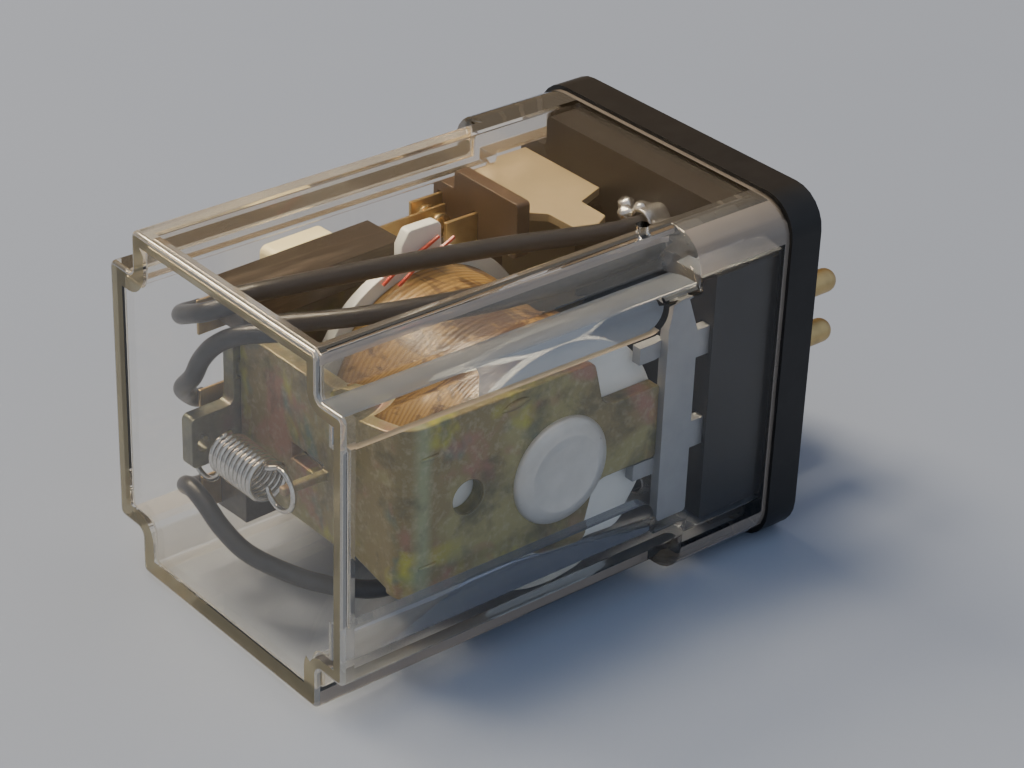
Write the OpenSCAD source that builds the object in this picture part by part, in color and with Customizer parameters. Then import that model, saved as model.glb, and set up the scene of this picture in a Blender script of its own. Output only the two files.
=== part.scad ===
// Plug-in power relay with a clear cover, three changeover contacts and an 11-pin round plug.
// It lies on its side: +X runs from the closed end of the cover to the plug, +Z is up, and the
// side with the end of the core faces -Y. The origin is under the middle of the overall box.
// Inside the modules, x is measured from the closed end of the cover, and placed() moves it.

/* [Clear cover] */
// Width of the cover, across Y
cover_w = 33.9; // [33.4:0.1:36]
// Height of the cover, along Z
cover_h = 34.7; // [34.2:0.1:35.4]
// Length of the cover, closed end to open end
cover_l = 48.8; // [48.4:0.1:54]
// Thickness of the wall
wall = 1.25; // [1:0.05:1.4]
// Step along each long corner, taken off the side
step_w = 3.6; // [3.2:0.1:4]
// Step along each long corner, taken off the top or bottom
step_h = 4.3; // [3.8:0.1:4.6]
// Radius of the long edges of the stepped part
edge_r = 0.7; // [0.3:0.1:1]
// Length of the full-cornered part at the open end
flare_l = 10.6; // [9:0.1:11]
// Radius of its four corners
flare_r = 3.4; // [2:0.1:3.6]
// Radius where the step runs out into the full corner
runout_r = 1.8; // [1:0.1:2.4]
// How far the two guide rails stand in from the near wall
rail_t = 1.2; // [0.8:0.1:1.4]
// Height of the upper rail
rail_top_h = 3.8; // [3.4:0.1:4.2]
// Height of the lower rail
rail_bottom_h = 5; // [4.4:0.1:5.2]
// Distance that both rails stop short of the full-cornered part
rail_setback = 2.8; // [2:0.1:4]
// Diameter of the vent hole in the top
vent_d = 1.2; // [0.8:0.1:1.6]
// Distance of the vent hole from the full-cornered part
vent_setback = 2.2; // [1.5:0.1:4]
// Travel of the cover as it is pulled off
cover_travel = 50; // [45:1:60]

/* [Base and plug] */
// How far the lip stands out beyond each side of the cover
lip_side = 0.35; // [0.2:0.05:0.6]
// How far the lip stands out above and below the cover
lip_rise = 0.4; // [0.3:0.05:0.6]
// Thickness of the lip
lip_t = 3.6; // [3:0.1:4]
// Corner radius of the lip
lip_r = 3.6; // [2:0.1:5]
// Depth of the block that fills the open end of the cover
plug_block_t = 3.8; // [3.4:0.1:4.2]
// Length of the pedestal that stands in front of that block
pedestal_l = 3.8; // [3.4:0.1:4]
// Width of the pedestal
pedestal_w = 6.1; // [5.6:0.1:6.2]
// Gap between the base and the inside of the cover
base_gap = 0.3; // [0.2:0.05:0.4]
// Diameter of a plug pin
pin_d = 2.36; // [2.2:0.02:2.4]
// Diameter of a pin's stem inside the base
pin_stem_d = 2; // [1.6:0.1:2.1]
// Length of a pin beyond the lip
pin_l = 11; // [10:0.1:12]
// Pitch circle of the pins
pin_circle_d = 19.05; // [18.8:0.05:19.3]
// Number of pins
pin_count = 11; // [8, 11]
// Gap round a pin in its hole
pin_gap = 0.02; // [0.01:0.01:0.05]
// Depth of the recess round each pin in the face of the lip
pin_recess_t = 0.3; // [0.2:0.05:0.6]
// Gap round a pin in that recess
pin_recess_gap = 0.15; // [0.1:0.05:0.4]
// Diameter of the guide post
post_d = 7.8; // [7.4:0.1:8.2]
// Length of the guide post beyond the lip
post_l = 13.6; // [13:0.1:14.5]
// Width of the key on the guide post
key_w = 1.8; // [1.4:0.1:2.2]
// Height of the key above the post
key_h = 1.1; // [0.8:0.1:1.3]

/* [Magnet frame] */
// Thickness of the yoke plate
yoke_t = 1.5; // [1.2:0.1:1.6]
// Distance of the yoke's end wall from the closed end
yoke_x = 8; // [7.6:0.1:8.4]
// Gap between the yoke and the guide rails
rail_gap = 0.3; // [0.2:0.05:0.5]
// Height of the yoke's lower edge
yoke_z0 = 7.6; // [7.2:0.1:8]
// Gap between the yoke's upper edge and the bar of the blade carrier
bar_gap = 0.2; // [0.15:0.05:0.4]
// Outside radius of the bend
bend_r = 2; // [1.8:0.1:2.4]
// Gap between the bracket strip and the pedestal
strip_room = 1.3; // [1.1:0.1:2]
// Diameter of the locating hole
locating_d = 3.3; // [2.6:0.1:3.6]
// Width of the bracket strip
strip_w = 3.5; // [3:0.1:3.8]
// Thickness of the bracket strip
strip_t = 1; // [0.8:0.1:1.2]
// Reach of the spring tab out of the end wall
tab_l = 4.6; // [4.4:0.1:4.8]

/* [Coil] */
// Distance of the core's axis from the closed end
coil_x = 25; // [24.8:0.1:25.2]
// Height of the core's axis
coil_z = 15.9; // [15.7:0.1:16.2]
// Diameter of the core
core_d = 7.4; // [6.8:0.1:8]
// Diameter of the riveted end of the core
head_d = 10.4; // [9.6:0.1:10.8]
// Height of the riveted end
head_t = 0.9; // [0.6:0.1:1]
// Diameter of the pole face
pole_d = 11.2; // [10:0.1:12]
// Thickness of the pole face
pole_t = 2.3; // [2:0.1:2.5]
// Room between the pole face and the far wall, for the armature and the contacts
far_room = 7.6; // [7.4:0.1:7.8]
// Height of the bobbin's lug below the inside of the cover's top
lug_gap = 2.95; // [2.6:0.05:3.2]
// Diameter of the bobbin's flanges
flange_d = 24.4; // [23.6:0.1:24.6]
// Thickness of the flanges
flange_t = 1.2; // [1:0.1:1.4]
// Diameter over the winding
winding_d = 20.8; // [19:0.1:21.4]
// Thickness of the tape on the winding
tape_t = 0.4; // [0.2:0.05:0.5]
// Wall of the bobbin's tube
tube_t = 1.1; // [0.8:0.1:1.4]

/* [Armature and contacts] */
// Angle that the armature stands open at rest
open_angle = 2.6; // [2:0.1:2.8]
// Thickness of the armature
arm_t = 1.5; // [1.2:0.1:1.6]
// Gap left between armature and pole face when closed
seat_gap = 0.15; // [0.1:0.01:0.2]
// Gap between the blade carrier and the cover's lower step
carrier_low_gap = 0.35; // [0.3:0.05:0.5]
// Gap between the blade carrier and the cover's upper step
carrier_high_gap = 1.05; // [0.9:0.05:1.2]
// Height of the carrier's bars
bar_h = 3; // [2.6:0.1:3.1]
// Width of a contact blade
blade_w = 3.4; // [3:0.1:3.6]
// Thickness of a moving blade
blade_t = 0.3; // [0.2:0.05:0.4]
// Distance of the contact buttons from the closed end
contact_x = 31.9; // [31.7:0.1:32]
// Diameter of a contact button
button_d = 2.4; // [2:0.1:2.6]
// Height of a moving button
button_t = 0.9; // [0.7:0.05:0.95]
// Height of a fixed button
fixed_button_t = 0.7; // [0.5:0.05:0.8]
// Gap left between buttons that meet
contact_gap = 0.1; // [0.08:0.01:0.14]
// Thickness of a fixed contact
fixed_t = 0.4; // [0.3:0.05:0.5]

/* [Spring and leads] */
// Diameter of the spring's wire
spring_wire_d = 0.44; // [0.4:0.01:0.44]
// Outside diameter of the spring
spring_d = 4; // [3.8:0.1:4.2]
// Number of curls of the spring
spring_turns = 7; // [5:1:7]
// Diameter of a flexible lead
lead_d = 2; // [1.8:0.05:2]
// Length of the ferrule where a lead meets the base
ferrule_l = 2.6; // [2:0.1:3]

/* [Hidden] */
$fn = 64;
cut = 0.2;
fit = 0.02;

// Overall box and the main planes
overall_l = cover_l + lip_t + post_l;
lip_w = cover_w + 2 * lip_side;
lip_h = cover_h + 2 * lip_rise;
cover_z0 = lip_rise;
cover_z1 = cover_z0 + cover_h;
axis_z = lip_h / 2;
side_y = cover_w / 2;
inner_y = side_y - wall;
step_y = side_y - step_w;
step_z0 = cover_z0 + step_h;
step_z1 = cover_z1 - step_h;
flare_x = cover_l - flare_l;
rail_l = flare_x - rail_setback;
block_x = cover_l - plug_block_t;
pedestal_x = block_x - pedestal_l;

// Magnet frame, from the near side to the far side
near_y = -(inner_y - rail_t - rail_gap);
plate_in_y = near_y + yoke_t;
plate_x1 = pedestal_x - strip_room - strip_w;
bobbin_y0 = plate_in_y;
pole_y = inner_y - far_room;
bobbin_y1 = pole_y - pole_t;
strip_y = near_y - 0.6;

// Hinge line of the armature, and the closed armature's inner face
pivot_x = yoke_x;
pivot_y = pole_y + seat_gap;

// Contacts, as they stand with the armature closed
blade_y = pivot_y + arm_t + 0.85;
blade_x0 = 5.4;
blade_x1 = contact_x + button_d / 2 - 0.1;
carrier_x0 = 7.4;
carrier_x1 = 24.6;
carrier_y0 = pivot_y - 1.55;
carrier_y1 = blade_y + 1;
carrier_z0 = step_z0 + wall + carrier_low_gap;
carrier_z1 = step_z1 - wall - carrier_high_gap;
blade_low = 0.4;
blade_high = 0.5;
pole_pitch = (carrier_z1 - blade_high - carrier_z0 - blade_low - blade_w) / 2;
pole_z = carrier_z0 + blade_low + blade_w / 2 + pole_pitch;
yoke_z1 = carrier_z1 - bar_h - bar_gap;
arm_z0 = carrier_z0 + bar_h + 0.3;
arm_z1 = carrier_z1 - bar_h - 1.1;
lever = contact_x - pivot_x;
rest_blade_y = pivot_y + lever * sin(open_angle) + (blade_y - pivot_y) * cos(open_angle);
closed_face_y = rest_blade_y + blade_t / 2 + button_t + contact_gap + button_d / 2 * sin(open_angle);
open_face_y = blade_y - blade_t / 2 - button_t - contact_gap;
barrier_x = contact_x + 2;
barrier_t = 1.5;
holder_x = barrier_x + barrier_t;
holder_y0 = bobbin_y1 + 1.2;
holder_y1 = closed_face_y + fixed_button_t + fixed_t + 0.8;
holder_z0 = 3.2;
shelf_z0 = step_z0 + wall + 0.35;
shelf_y = step_y - wall - 0.35;
holder_z1 = step_z1 - wall - 0.35;
fixed_x0 = contact_x - 1.5;
fixed_x1 = holder_x + 1.6;

// Spring: both hooks are loops in the YZ plane, the near one round the tab
spring_x = 4.1;
spring_z = 16.8;
hook_r = 2;
tab_y0 = -4.9;
tab_t = 0.8;
tab_h = 0.8;
tail_z0 = 12.9;
tail_z1 = 18;
tail_hole_z = 15.1;
spring_r = (spring_d - spring_wire_d) / 2;
near_hook_y = tab_y0 - spring_wire_d / 2 - 0.08 + hook_r;
far_hook_y = pivot_y + 0.15;
coil_start_y = near_hook_y + 1.9;
coil_end_y = far_hook_y - 3.3;
curl_pitch = (coil_end_y - coil_start_y) / spring_turns;

function unit(v) = v / norm(v);
function clamp1(v) = max(-1, min(1, v));

// Points of an arc about o, the short way round from s to e
function arc(o, s, e, n) = let (
        r = norm(s - o),
        a0 = atan2(s.y - o.y, s.x - o.x),
        turn = atan2(e.y - o.y, e.x - o.x) - a0,
        sweep = turn > 180 ? turn - 360 : turn < -180 ? turn + 360 : turn)
    [for (i = [0 : n]) o + r * [cos(a0 + sweep * i / n), sin(a0 + sweep * i / n)]];

// Outline whose corners [x, y, radius] are rounded by arcs
function rounded(c, n = 6) = [for (i = [0 : len(c) - 1]) let (
        a = [c[(i + len(c) - 1) % len(c)].x, c[(i + len(c) - 1) % len(c)].y],
        b = [c[i].x, c[i].y],
        d = [c[(i + 1) % len(c)].x, c[(i + 1) % len(c)].y],
        u = unit(a - b), w = unit(d - b), half = acos(clamp1(u * w)) / 2, r = c[i][2])
    each r == 0 ? [b] : arc(b + unit(u + w) * r / sin(half), b + u * r / tan(half), b + w * r / tan(half), n)];

// Prisms along X from a YZ outline, along Y from an XZ outline, and along Z from an XY outline
module along_x(x0, x1) { translate([x0, 0, 0]) rotate([90, 0, 90]) linear_extrude(x1 - x0) children(); }
module along_y(y0, y1) { translate([0, y1, 0]) rotate([90, 0, 0]) linear_extrude(y1 - y0) children(); }
module along_z(z0, z1) { translate([0, 0, z0]) linear_extrude(z1 - z0) children(); }
module box(a, b) { translate(a) cube(b - a); }
module rod_y(x, z, r, y0, y1) { translate([x, y1, z]) rotate([90, 0, 0]) cylinder(r = r, h = y1 - y0); }
module rod_x(y, z, r, x0, x1) { translate([x0, y, z]) rotate([0, 90, 0]) cylinder(r = r, h = x1 - x0); }
module placed() { translate([-overall_l / 2, 0, 0]) children(); }

// Turns a closed armature's pieces open about the hinge line
module swung() {
    translate([pivot_x, pivot_y, 0]) rotate([0, 0, open_angle]) translate([-pivot_x, -pivot_y, 0]) children();
}
module for_poles() { for (k = [-1 : 1]) translate([0, 0, pole_z + k * pole_pitch]) children(); }

// Clear cover
// Stepped outline shrunk by d, with corner radius r; sy and the two heights place the step
function stepped(sx, z0, z1, sy, s0, s1, r, ri) = rounded([
    [-sx, s0, r], [-sx, s1, r], [-sy, s1, ri], [-sy, z1, r], [sy, z1, r], [sy, s1, ri], [sx, s1, r], [sx, s0, r],
    [sy, s0, ri], [sy, z0, r], [-sy, z0, r], [-sy, s0, ri]]);

module cover_shell() {
    along_x(0, flare_x + cut) polygon(stepped(side_y, cover_z0, cover_z1, step_y, step_z0, step_z1, edge_r, edge_r));
    along_x(flare_x, cover_l) polygon(rounded([[-side_y, cover_z0, flare_r], [-side_y, cover_z1, flare_r],
        [side_y, cover_z1, flare_r], [side_y, cover_z0, flare_r]]));
    for (sy = [-1, 1], sz = [-1, 1]) runout(sy, sz);
}

// Concave run-out of one step into the full corner
module runout(sy, sz) {
    z_edge = sz > 0 ? step_z1 : cover_z0 + edge_r;
    z_end = sz > 0 ? cover_z1 - edge_r : step_z0;
    y0 = sy * step_y;
    along_z(z_edge, z_end) polygon(concat([[flare_x + cut, y0 - sy * cut], [flare_x + cut, y0 + sy * runout_r]],
        arc([flare_x - runout_r, y0 + sy * runout_r], [flare_x, y0 + sy * runout_r], [flare_x - runout_r, y0], 6),
        [[flare_x - runout_r, y0 - sy * cut]]));
}

module cover_cavity() {
    floor0 = cover_z0 + wall;
    floor1 = cover_z1 - wall;
    in_y = step_y - wall;
    along_x(wall, flare_x + wall) polygon(stepped(inner_y, floor0, floor1, in_y, step_z0 + wall, step_z1 - wall,
        edge_r / 2, edge_r + wall / 2));
    along_x(flare_x + wall - cut, cover_l + cut) polygon(stepped(inner_y, floor0, floor1, in_y, step_z0, step_z1,
        edge_r / 2, edge_r));
}

module guide_rails() {
    y0 = -side_y + wall / 2;
    y1 = -inner_y + rail_t;
    end_r = 2;
    along_y(y0, y1) polygon(rounded([[wall / 2, step_z1 - rail_top_h, 0], [rail_l, step_z1 - rail_top_h, end_r],
        [rail_l, step_z1 - wall / 2, 0], [wall / 2, step_z1 - wall / 2, 0]]));
    along_y(y0, y1) polygon(rounded([[wall / 2, step_z0 + wall / 2, 0], [rail_l, step_z0 + wall / 2, 0],
        [rail_l, step_z0 + rail_bottom_h, end_r], [wall / 2, step_z0 + rail_bottom_h, 0]]));
}

module cover() color([0.86, 0.84, 0.78, 0.35]) placed() {
    difference() {
        union() {
            difference() {
                cover_shell();
                cover_cavity();
            }
            guide_rails();
        }
        translate([flare_x - vent_setback, -(step_y - wall - 0.5), cover_z1 - wall - cut])
            cylinder(d = vent_d, h = wall + 2 * cut);
    }
}

// Base, in one piece with its lip, pedestal and guide post
function pin_angle(i) = 180 + (i + 0.5) * 360 / pin_count;

module base() color([0.07, 0.07, 0.075]) placed() {
    block_y = inner_y - base_gap;
    block_step_y = step_y - wall - base_gap;
    pedestal_y = -block_y;
    difference() {
        union() {
            along_x(block_x, cover_l + cut) polygon(stepped(block_y, cover_z0 + wall + base_gap,
                cover_z1 - wall - base_gap, block_step_y, step_z0 + base_gap, step_z1 - base_gap, 0.5, 0.5));
            along_x(cover_l, cover_l + lip_t) polygon(rounded([[-lip_w / 2, 0, lip_r], [-lip_w / 2, lip_h, lip_r],
                [lip_w / 2, lip_h, lip_r], [lip_w / 2, 0, lip_r]]));
            difference() {
                box([pedestal_x, pedestal_y, step_z0 + 0.6], [block_x + cut, pedestal_y + pedestal_w, step_z1 - 0.6]);
                strip_tabs(base_gap / 2);
            }
            guide_post();
        }
        for_pins() {
            rod_x(0, 0, pin_stem_d / 2 + pin_gap, block_x - cut, cover_l + lip_t + cut);
            rod_x(0, 0, pin_d / 2 + pin_recess_gap, cover_l + lip_t - pin_recess_t, cover_l + lip_t + cut);
        }
    }
}

module guide_post() {
    tip = 1;
    translate([cover_l + lip_t - cut, 0, axis_z]) rotate([0, 90, 0]) {
        cylinder(d = post_d, h = post_l - tip + cut);
        translate([0, 0, post_l - tip + cut]) cylinder(d1 = post_d, d2 = post_d - 2 * tip, h = tip);
        translate([-key_w / 2, -post_d / 2 - key_h, 0]) cube([key_w, post_d / 2 + key_h, post_l - 2 * tip]);
    }
}

module for_pins() {
    for (i = [0 : pin_count - 1])
        translate([0, pin_circle_d / 2 * cos(pin_angle(i)), axis_z + pin_circle_d / 2 * sin(pin_angle(i))]) children();
}

module plug_pins() color([0.78, 0.62, 0.3]) placed() for_pins() {
    nose = pin_d / 2;
    tip_x = cover_l + lip_t + pin_l - nose;
    rod_x(0, 0, pin_stem_d / 2, block_x, cover_l + lip_t + cut);
    rod_x(0, 0, pin_d / 2, cover_l + lip_t, tip_x);
    translate([tip_x, 0, 0]) rotate([0, 90, 0]) rotate_extrude() intersection() {
        circle(r = nose);
        square(nose);
    }
}

// Bracket strip, with two tabs towards the base and two lugs towards the yoke
strip_x0 = plate_x1;
strip_x1 = plate_x1 + strip_w;
strip_gap = 0.45;
strip_z0 = step_z0 + wall + strip_gap;
strip_z1 = step_z1 - wall - strip_gap;
tab_z0 = strip_z0 + 6.7;
tab_z1 = strip_z1 - 8.6;

module strip_tabs(grow) {
    for (z = [strip_z0 + 6.6, strip_z1 - 6.8]) box([strip_x1 - cut, strip_y - grow, z - grow],
        [pedestal_x + 1 + grow, strip_y + strip_t + grow, z + 2.8 + grow]);
}

module bracket_strip() color([0.62, 0.63, 0.64]) placed() {
    along_y(strip_y, strip_y + strip_t) polygon(rounded([[strip_x0, strip_z0, 0.4], [strip_x1, strip_z0, 0.4],
        [strip_x1, strip_z1 - 4, 0.8], [strip_x1 - 1.4, strip_z1, 0.4], [strip_x0 + 0.6, strip_z1, 0.4],
        [strip_x0, strip_z1 - 3, 0.4]]));
    strip_tabs(0);
    lug_y = strip_y + strip_t;
    for (z = [tab_z0 - 1.9, tab_z1 + 2.6]) box([strip_x0 - 2.5, lug_y - 0.2, z], [strip_x0 + 0.4, lug_y + 0.8, z + 1.7]);
}

// Yoke: side plate and end wall in one bent sheet
module yoke_side_outline() {
    polygon(rounded([[yoke_x - cut, yoke_z0 + 1, 0], [yoke_x + 6, yoke_z0, 0], [yoke_x + 8.8, yoke_z0, 0.5],
        [yoke_x + 10, yoke_z0 + 1.3, 0.8], [yoke_x + 13.4, yoke_z0 + 1.3, 0.8], [yoke_x + 15.2, yoke_z0, 0.8],
        [yoke_x + 19.8, yoke_z0, 1], [yoke_x + 21.2, tab_z0, 1.8], [plate_x1, tab_z0, 0.4], [plate_x1, tab_z1, 0.4],
        [yoke_x + 21.8, tab_z1, 1.6], [yoke_x + 20.6, yoke_z1, 0.8], [yoke_x - cut, yoke_z1, 0]]));
}

module yoke_end_outline() {
    foot_z = yoke_z0 + 2.6;
    polygon([[near_y - cut, yoke_z0 + 1], [near_y + 2.4, yoke_z0 + 1.4], [near_y + 8, foot_z], [pole_y, foot_z],
        [pole_y, yoke_z1], [near_y - cut, yoke_z1]]);
}

module hinge_lugs(grow) {
    lug_h = 1.6;
    for (z = [arm_z0 + 1.2, arm_z1 - 2.2 - lug_h]) box([yoke_x - grow, pole_y - cut, z - grow],
        [yoke_x + yoke_t + grow, pivot_y + arm_t + 0.4, z + lug_h + grow]);
}

module yoke() color([0.5, 0.48, 0.27]) placed() {
    difference() {
        union() {
            intersection() {
                along_z(0, lip_h) polygon(rounded([[yoke_x, near_y, bend_r], [plate_x1, near_y, 0],
                    [plate_x1, plate_in_y, 0], [yoke_x + yoke_t, plate_in_y, bend_r - yoke_t],
                    [yoke_x + yoke_t, pole_y, 0], [yoke_x, pole_y, 0]]));
                union() {
                    along_y(near_y - cut, plate_in_y + 1) yoke_side_outline();
                    along_x(yoke_x - cut, yoke_x + yoke_t + 1) yoke_end_outline();
                }
            }
            hinge_lugs(0);
        }
        rod_y(yoke_x + 6.8, 16.9, locating_d / 2, near_y - cut, plate_in_y + cut);
        rod_y(coil_x, coil_z, core_d / 2 - 0.2, near_y - cut, plate_in_y + cut);
        box([yoke_x - cut, tab_y0 + tab_t, spring_z - tab_h], [yoke_x + yoke_t + cut, tab_y0 + tab_t + tab_l, spring_z + tab_h]);
    }
    box([yoke_x - tab_l, tab_y0, spring_z - tab_h / 2], [yoke_x + 0.1, tab_y0 + tab_t, spring_z + tab_h / 2]);
}

// Magnet coil
module core() color([0.72, 0.72, 0.7]) placed() {
    rim = 0.25;
    rod_y(coil_x, coil_z, core_d / 2 - 0.2 - fit, near_y - rim, plate_in_y + cut);
    translate([coil_x, near_y, coil_z]) rotate([90, 0, 0]) {
        cylinder(d = head_d, h = rim);
        translate([0, 0, rim]) cylinder(d1 = head_d, d2 = head_d - 2.4, h = head_t - rim);
    }
    rod_y(coil_x, coil_z, core_d / 2, plate_in_y, bobbin_y1 + fit);
    rod_y(coil_x, coil_z, pole_d / 2, bobbin_y1, pole_y);
}

module bobbin() color([0.86, 0.87, 0.84]) placed() {
    tube_r = core_d / 2 + fit + tube_t;
    lug_w = 5.2;
    lug_top_w = 3.6;
    lug_z1 = cover_z1 - wall - lug_gap;
    shoulder_z = lug_z1 - 1.4;
    difference() {
        union() {
            for (y = [bobbin_y0, bobbin_y1 - flange_t]) rod_y(coil_x, coil_z, flange_d / 2, y, y + flange_t);
            rod_y(coil_x, coil_z, tube_r, bobbin_y0, bobbin_y1);
            along_y(bobbin_y1 - flange_t, bobbin_y1) polygon(rounded([[coil_x - lug_w / 2, coil_z, 0],
                [coil_x - lug_w / 2, shoulder_z, 0], [coil_x - lug_top_w / 2, lug_z1, 0.6],
                [coil_x + lug_top_w / 2, lug_z1, 0.6], [coil_x + lug_w / 2 - 0.4, coil_z, 0]]));
        }
        rod_y(coil_x, coil_z, core_d / 2 + fit, bobbin_y0 - cut, bobbin_y1 + cut);
        box([coil_x - flange_d, bobbin_y0 - cut, 0], [coil_x + flange_d, -shelf_y, shelf_z0]);
        box([coil_x - flange_d, bobbin_y0 - cut, holder_z1], [coil_x + flange_d, -shelf_y, lip_h]);
    }
}

module ring_y(r0, r1, y0, y1) {
    difference() {
        rod_y(coil_x, coil_z, r1, y0, y1);
        rod_y(coil_x, coil_z, r0, y0 - cut, y1 + cut);
    }
}

wound_y0 = bobbin_y0 + flange_t + 0.05;
wound_y1 = bobbin_y1 - flange_t - 0.05;
module coil_winding() color([0.7, 0.3, 0.16]) placed()
    ring_y(core_d / 2 + 2 * fit + tube_t, winding_d / 2, wound_y0, wound_y1);
module coil_tape() color([0.83, 0.62, 0.33]) placed()
    ring_y(winding_d / 2 + fit, winding_d / 2 + fit + tape_t, wound_y0, wound_y1);

// Contact holder, its barrier and the fixed contacts
module fixed_slots(grow) {
    for_poles() for (y = [closed_face_y + fixed_button_t, open_face_y - fixed_button_t - fixed_t])
        box([fixed_x0 - grow, y - grow, -blade_w / 2 - grow], [fixed_x1 + grow, y + fixed_t + grow, blade_w / 2 + grow]);
}

module contact_block() color([0.66, 0.58, 0.43]) placed() {
    roof_t = 0.8;
    block_l = block_x - holder_x;
    finger_x0 = holder_x + 0.25 * block_l;
    finger_x1 = holder_x + 0.65 * block_l;
    difference() {
        union() {
            along_x(holder_x, block_x) polygon([[holder_y0, holder_z0], [shelf_y, holder_z0], [shelf_y, shelf_z0],
                [holder_y1, shelf_z0], [holder_y1, holder_z1], [holder_y0, holder_z1]]);
            along_z(holder_z1 - roof_t, holder_z1) polygon(rounded([[holder_x + 0.2, holder_y0 - 2.5, 0.3],
                [finger_x0 - 0.2, holder_y0 - 4.4, 0.3], [finger_x0, holder_y0 - 9.8, 0.5],
                [finger_x1, holder_y0 - 7.7, 0.3], [finger_x1 + 0.1, holder_y0 - 4.2, 0.3],
                [block_x, holder_y0 - 3, 0], [block_x, holder_y1, 0], [holder_x, holder_y1, 0.3]]));
        }
        fixed_slots(fit);
    }
}

module contact_barrier() color([0.24, 0.16, 0.1]) placed() {
    ear_y = holder_y0 - 4.4;
    ear_z0 = coil_z + 9.7;
    ear_z1 = holder_z1 + 1.9;
    difference() {
        along_x(barrier_x, barrier_x + barrier_t) polygon(rounded([[holder_y0 - 0.8, holder_z0, 0.4],
            [shelf_y, holder_z0, 0.4], [shelf_y, shelf_z0, 0.3], [holder_y1, shelf_z0, 0.4],
            [holder_y1, holder_z1, 0.4], [shelf_y, holder_z1, 0.3], [shelf_y, ear_z1, 0.4],
            [ear_y, ear_z1, 0.4], [ear_y, ear_z0, 0.4], [holder_y0 - 0.8, ear_z0, 0.4]]));
        fixed_slots(0.1);
    }
}

module fixed_contact(k, y) {
    translate([0, 0, pole_z + (k - 2) * pole_pitch]) box([fixed_x0, y, -blade_w / 2], [fixed_x1, y + fixed_t, blade_w / 2]);
}
module closed_contact(k) color([0.72, 0.55, 0.28]) placed() fixed_contact(k, closed_face_y + fixed_button_t);
module open_contact(k) color([0.72, 0.55, 0.28]) placed() fixed_contact(k, open_face_y - fixed_button_t - fixed_t);

module fixed_buttons() color([0.86, 0.72, 0.42]) placed() for_poles() {
    rod_y(contact_x, 0, button_d / 2, closed_face_y, closed_face_y + fixed_button_t);
    rod_y(contact_x, 0, button_d / 2, open_face_y - fixed_button_t, open_face_y);
}

// Armature and what it carries
module armature() color([0.5, 0.5, 0.36]) placed() swung() {
    difference() {
        along_y(pivot_y, pivot_y + arm_t) polygon(rounded([[spring_x - 1.3, tail_z0, 0.6], [yoke_x - 0.6, tail_z0, 0.6],
            [yoke_x - 0.6, arm_z0, 0.5], [coil_x + 5.2, arm_z0, 1.5], [coil_x + 5.2, arm_z1, 1.5],
            [yoke_x - 0.6, arm_z1, 0.5],
            [yoke_x - 0.6, tail_z1, 0.6], [spring_x - 1.3, tail_z1, 0.6]]));
        hinge_lugs(0.25);
        rod_y(spring_x, tail_hole_z, 0.7, pivot_y - cut, pivot_y + arm_t + cut);
    }
}

module blade_carrier() color([0.13, 0.11, 0.1]) placed() swung() {
    difference() {
        union() {
            box([carrier_x0 + 2.8, pivot_y + arm_t, carrier_z0], [carrier_x1, carrier_y1, carrier_z1]);
            for (z = [carrier_z0, carrier_z1 - bar_h])
                box([carrier_x0, carrier_y0, z], [carrier_x1, carrier_y1, z + bar_h]);
        }
        for_poles() moving_blade_shape(fit);
        clamp_rivet_holes(1 + fit);
    }
}

module moving_blade_shape(grow) {
    box([blade_x0, blade_y - blade_t / 2 - grow, -blade_w / 2 - grow],
        [blade_x1, blade_y + blade_t / 2 + grow, blade_w / 2 + grow]);
}
module moving_blade(k) color([0.74, 0.6, 0.36]) placed() swung()
    translate([0, 0, pole_z + (k - 2) * pole_pitch]) moving_blade_shape(0);

module moving_buttons() color([0.86, 0.72, 0.42]) placed() swung() for_poles() {
    rod_y(contact_x, 0, button_d / 2, blade_y + blade_t / 2, blade_y + blade_t / 2 + button_t);
    rod_y(contact_x, 0, button_d / 2, blade_y - blade_t / 2 - button_t, blade_y - blade_t / 2);
}

clamp_x0 = 13.8;
clamp_x1 = 21;
clamp_y1 = carrier_y1 + 2;
module clamp_rivet_holes(r) {
    for (z = [-1, 1]) rod_y((clamp_x0 + clamp_x1) / 2, pole_z + z * pole_pitch / 2, r, pivot_y + arm_t - cut, clamp_y1 + cut);
}

module blade_clamp() color([0.84, 0.79, 0.6]) placed() swung() {
    difference() {
        along_y(carrier_y1, clamp_y1) polygon(rounded([[clamp_x0, carrier_z0, 0.8], [clamp_x1, carrier_z0, 0.8],
            [clamp_x1, carrier_z1, 0.8], [clamp_x0, carrier_z1, 0.8]]));
        clamp_rivet_holes(1 + fit);
    }
}

module clamp_rivets() color([0.7, 0.62, 0.42]) placed() swung() for (z = [-1, 1]) {
    x = (clamp_x0 + clamp_x1) / 2;
    rod_y(x, pole_z + z * pole_pitch / 2, 1, pivot_y + arm_t, clamp_y1);
    rod_y(x, pole_z + z * pole_pitch / 2, 1.6, clamp_y1, clamp_y1 + 0.4);
}

// Swept tubes: each ring stands square to the route, carried along it without twist
function cross_unit(a, b) = unit(cross(a, b));
function tangents(p) = [for (i = [0 : len(p) - 1]) unit(p[min(i + 1, len(p) - 1)] - p[max(i - 1, 0)])];
function carried(t, i, v) = let (w = v - (v * t[i]) * t[i]) unit(w);
function normals(t, first) = [for (i = 0, v = carried(t, 0, first); i < len(t);
    i = i + 1, v = i < len(t) ? carried(t, i, v) : v) v];

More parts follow.
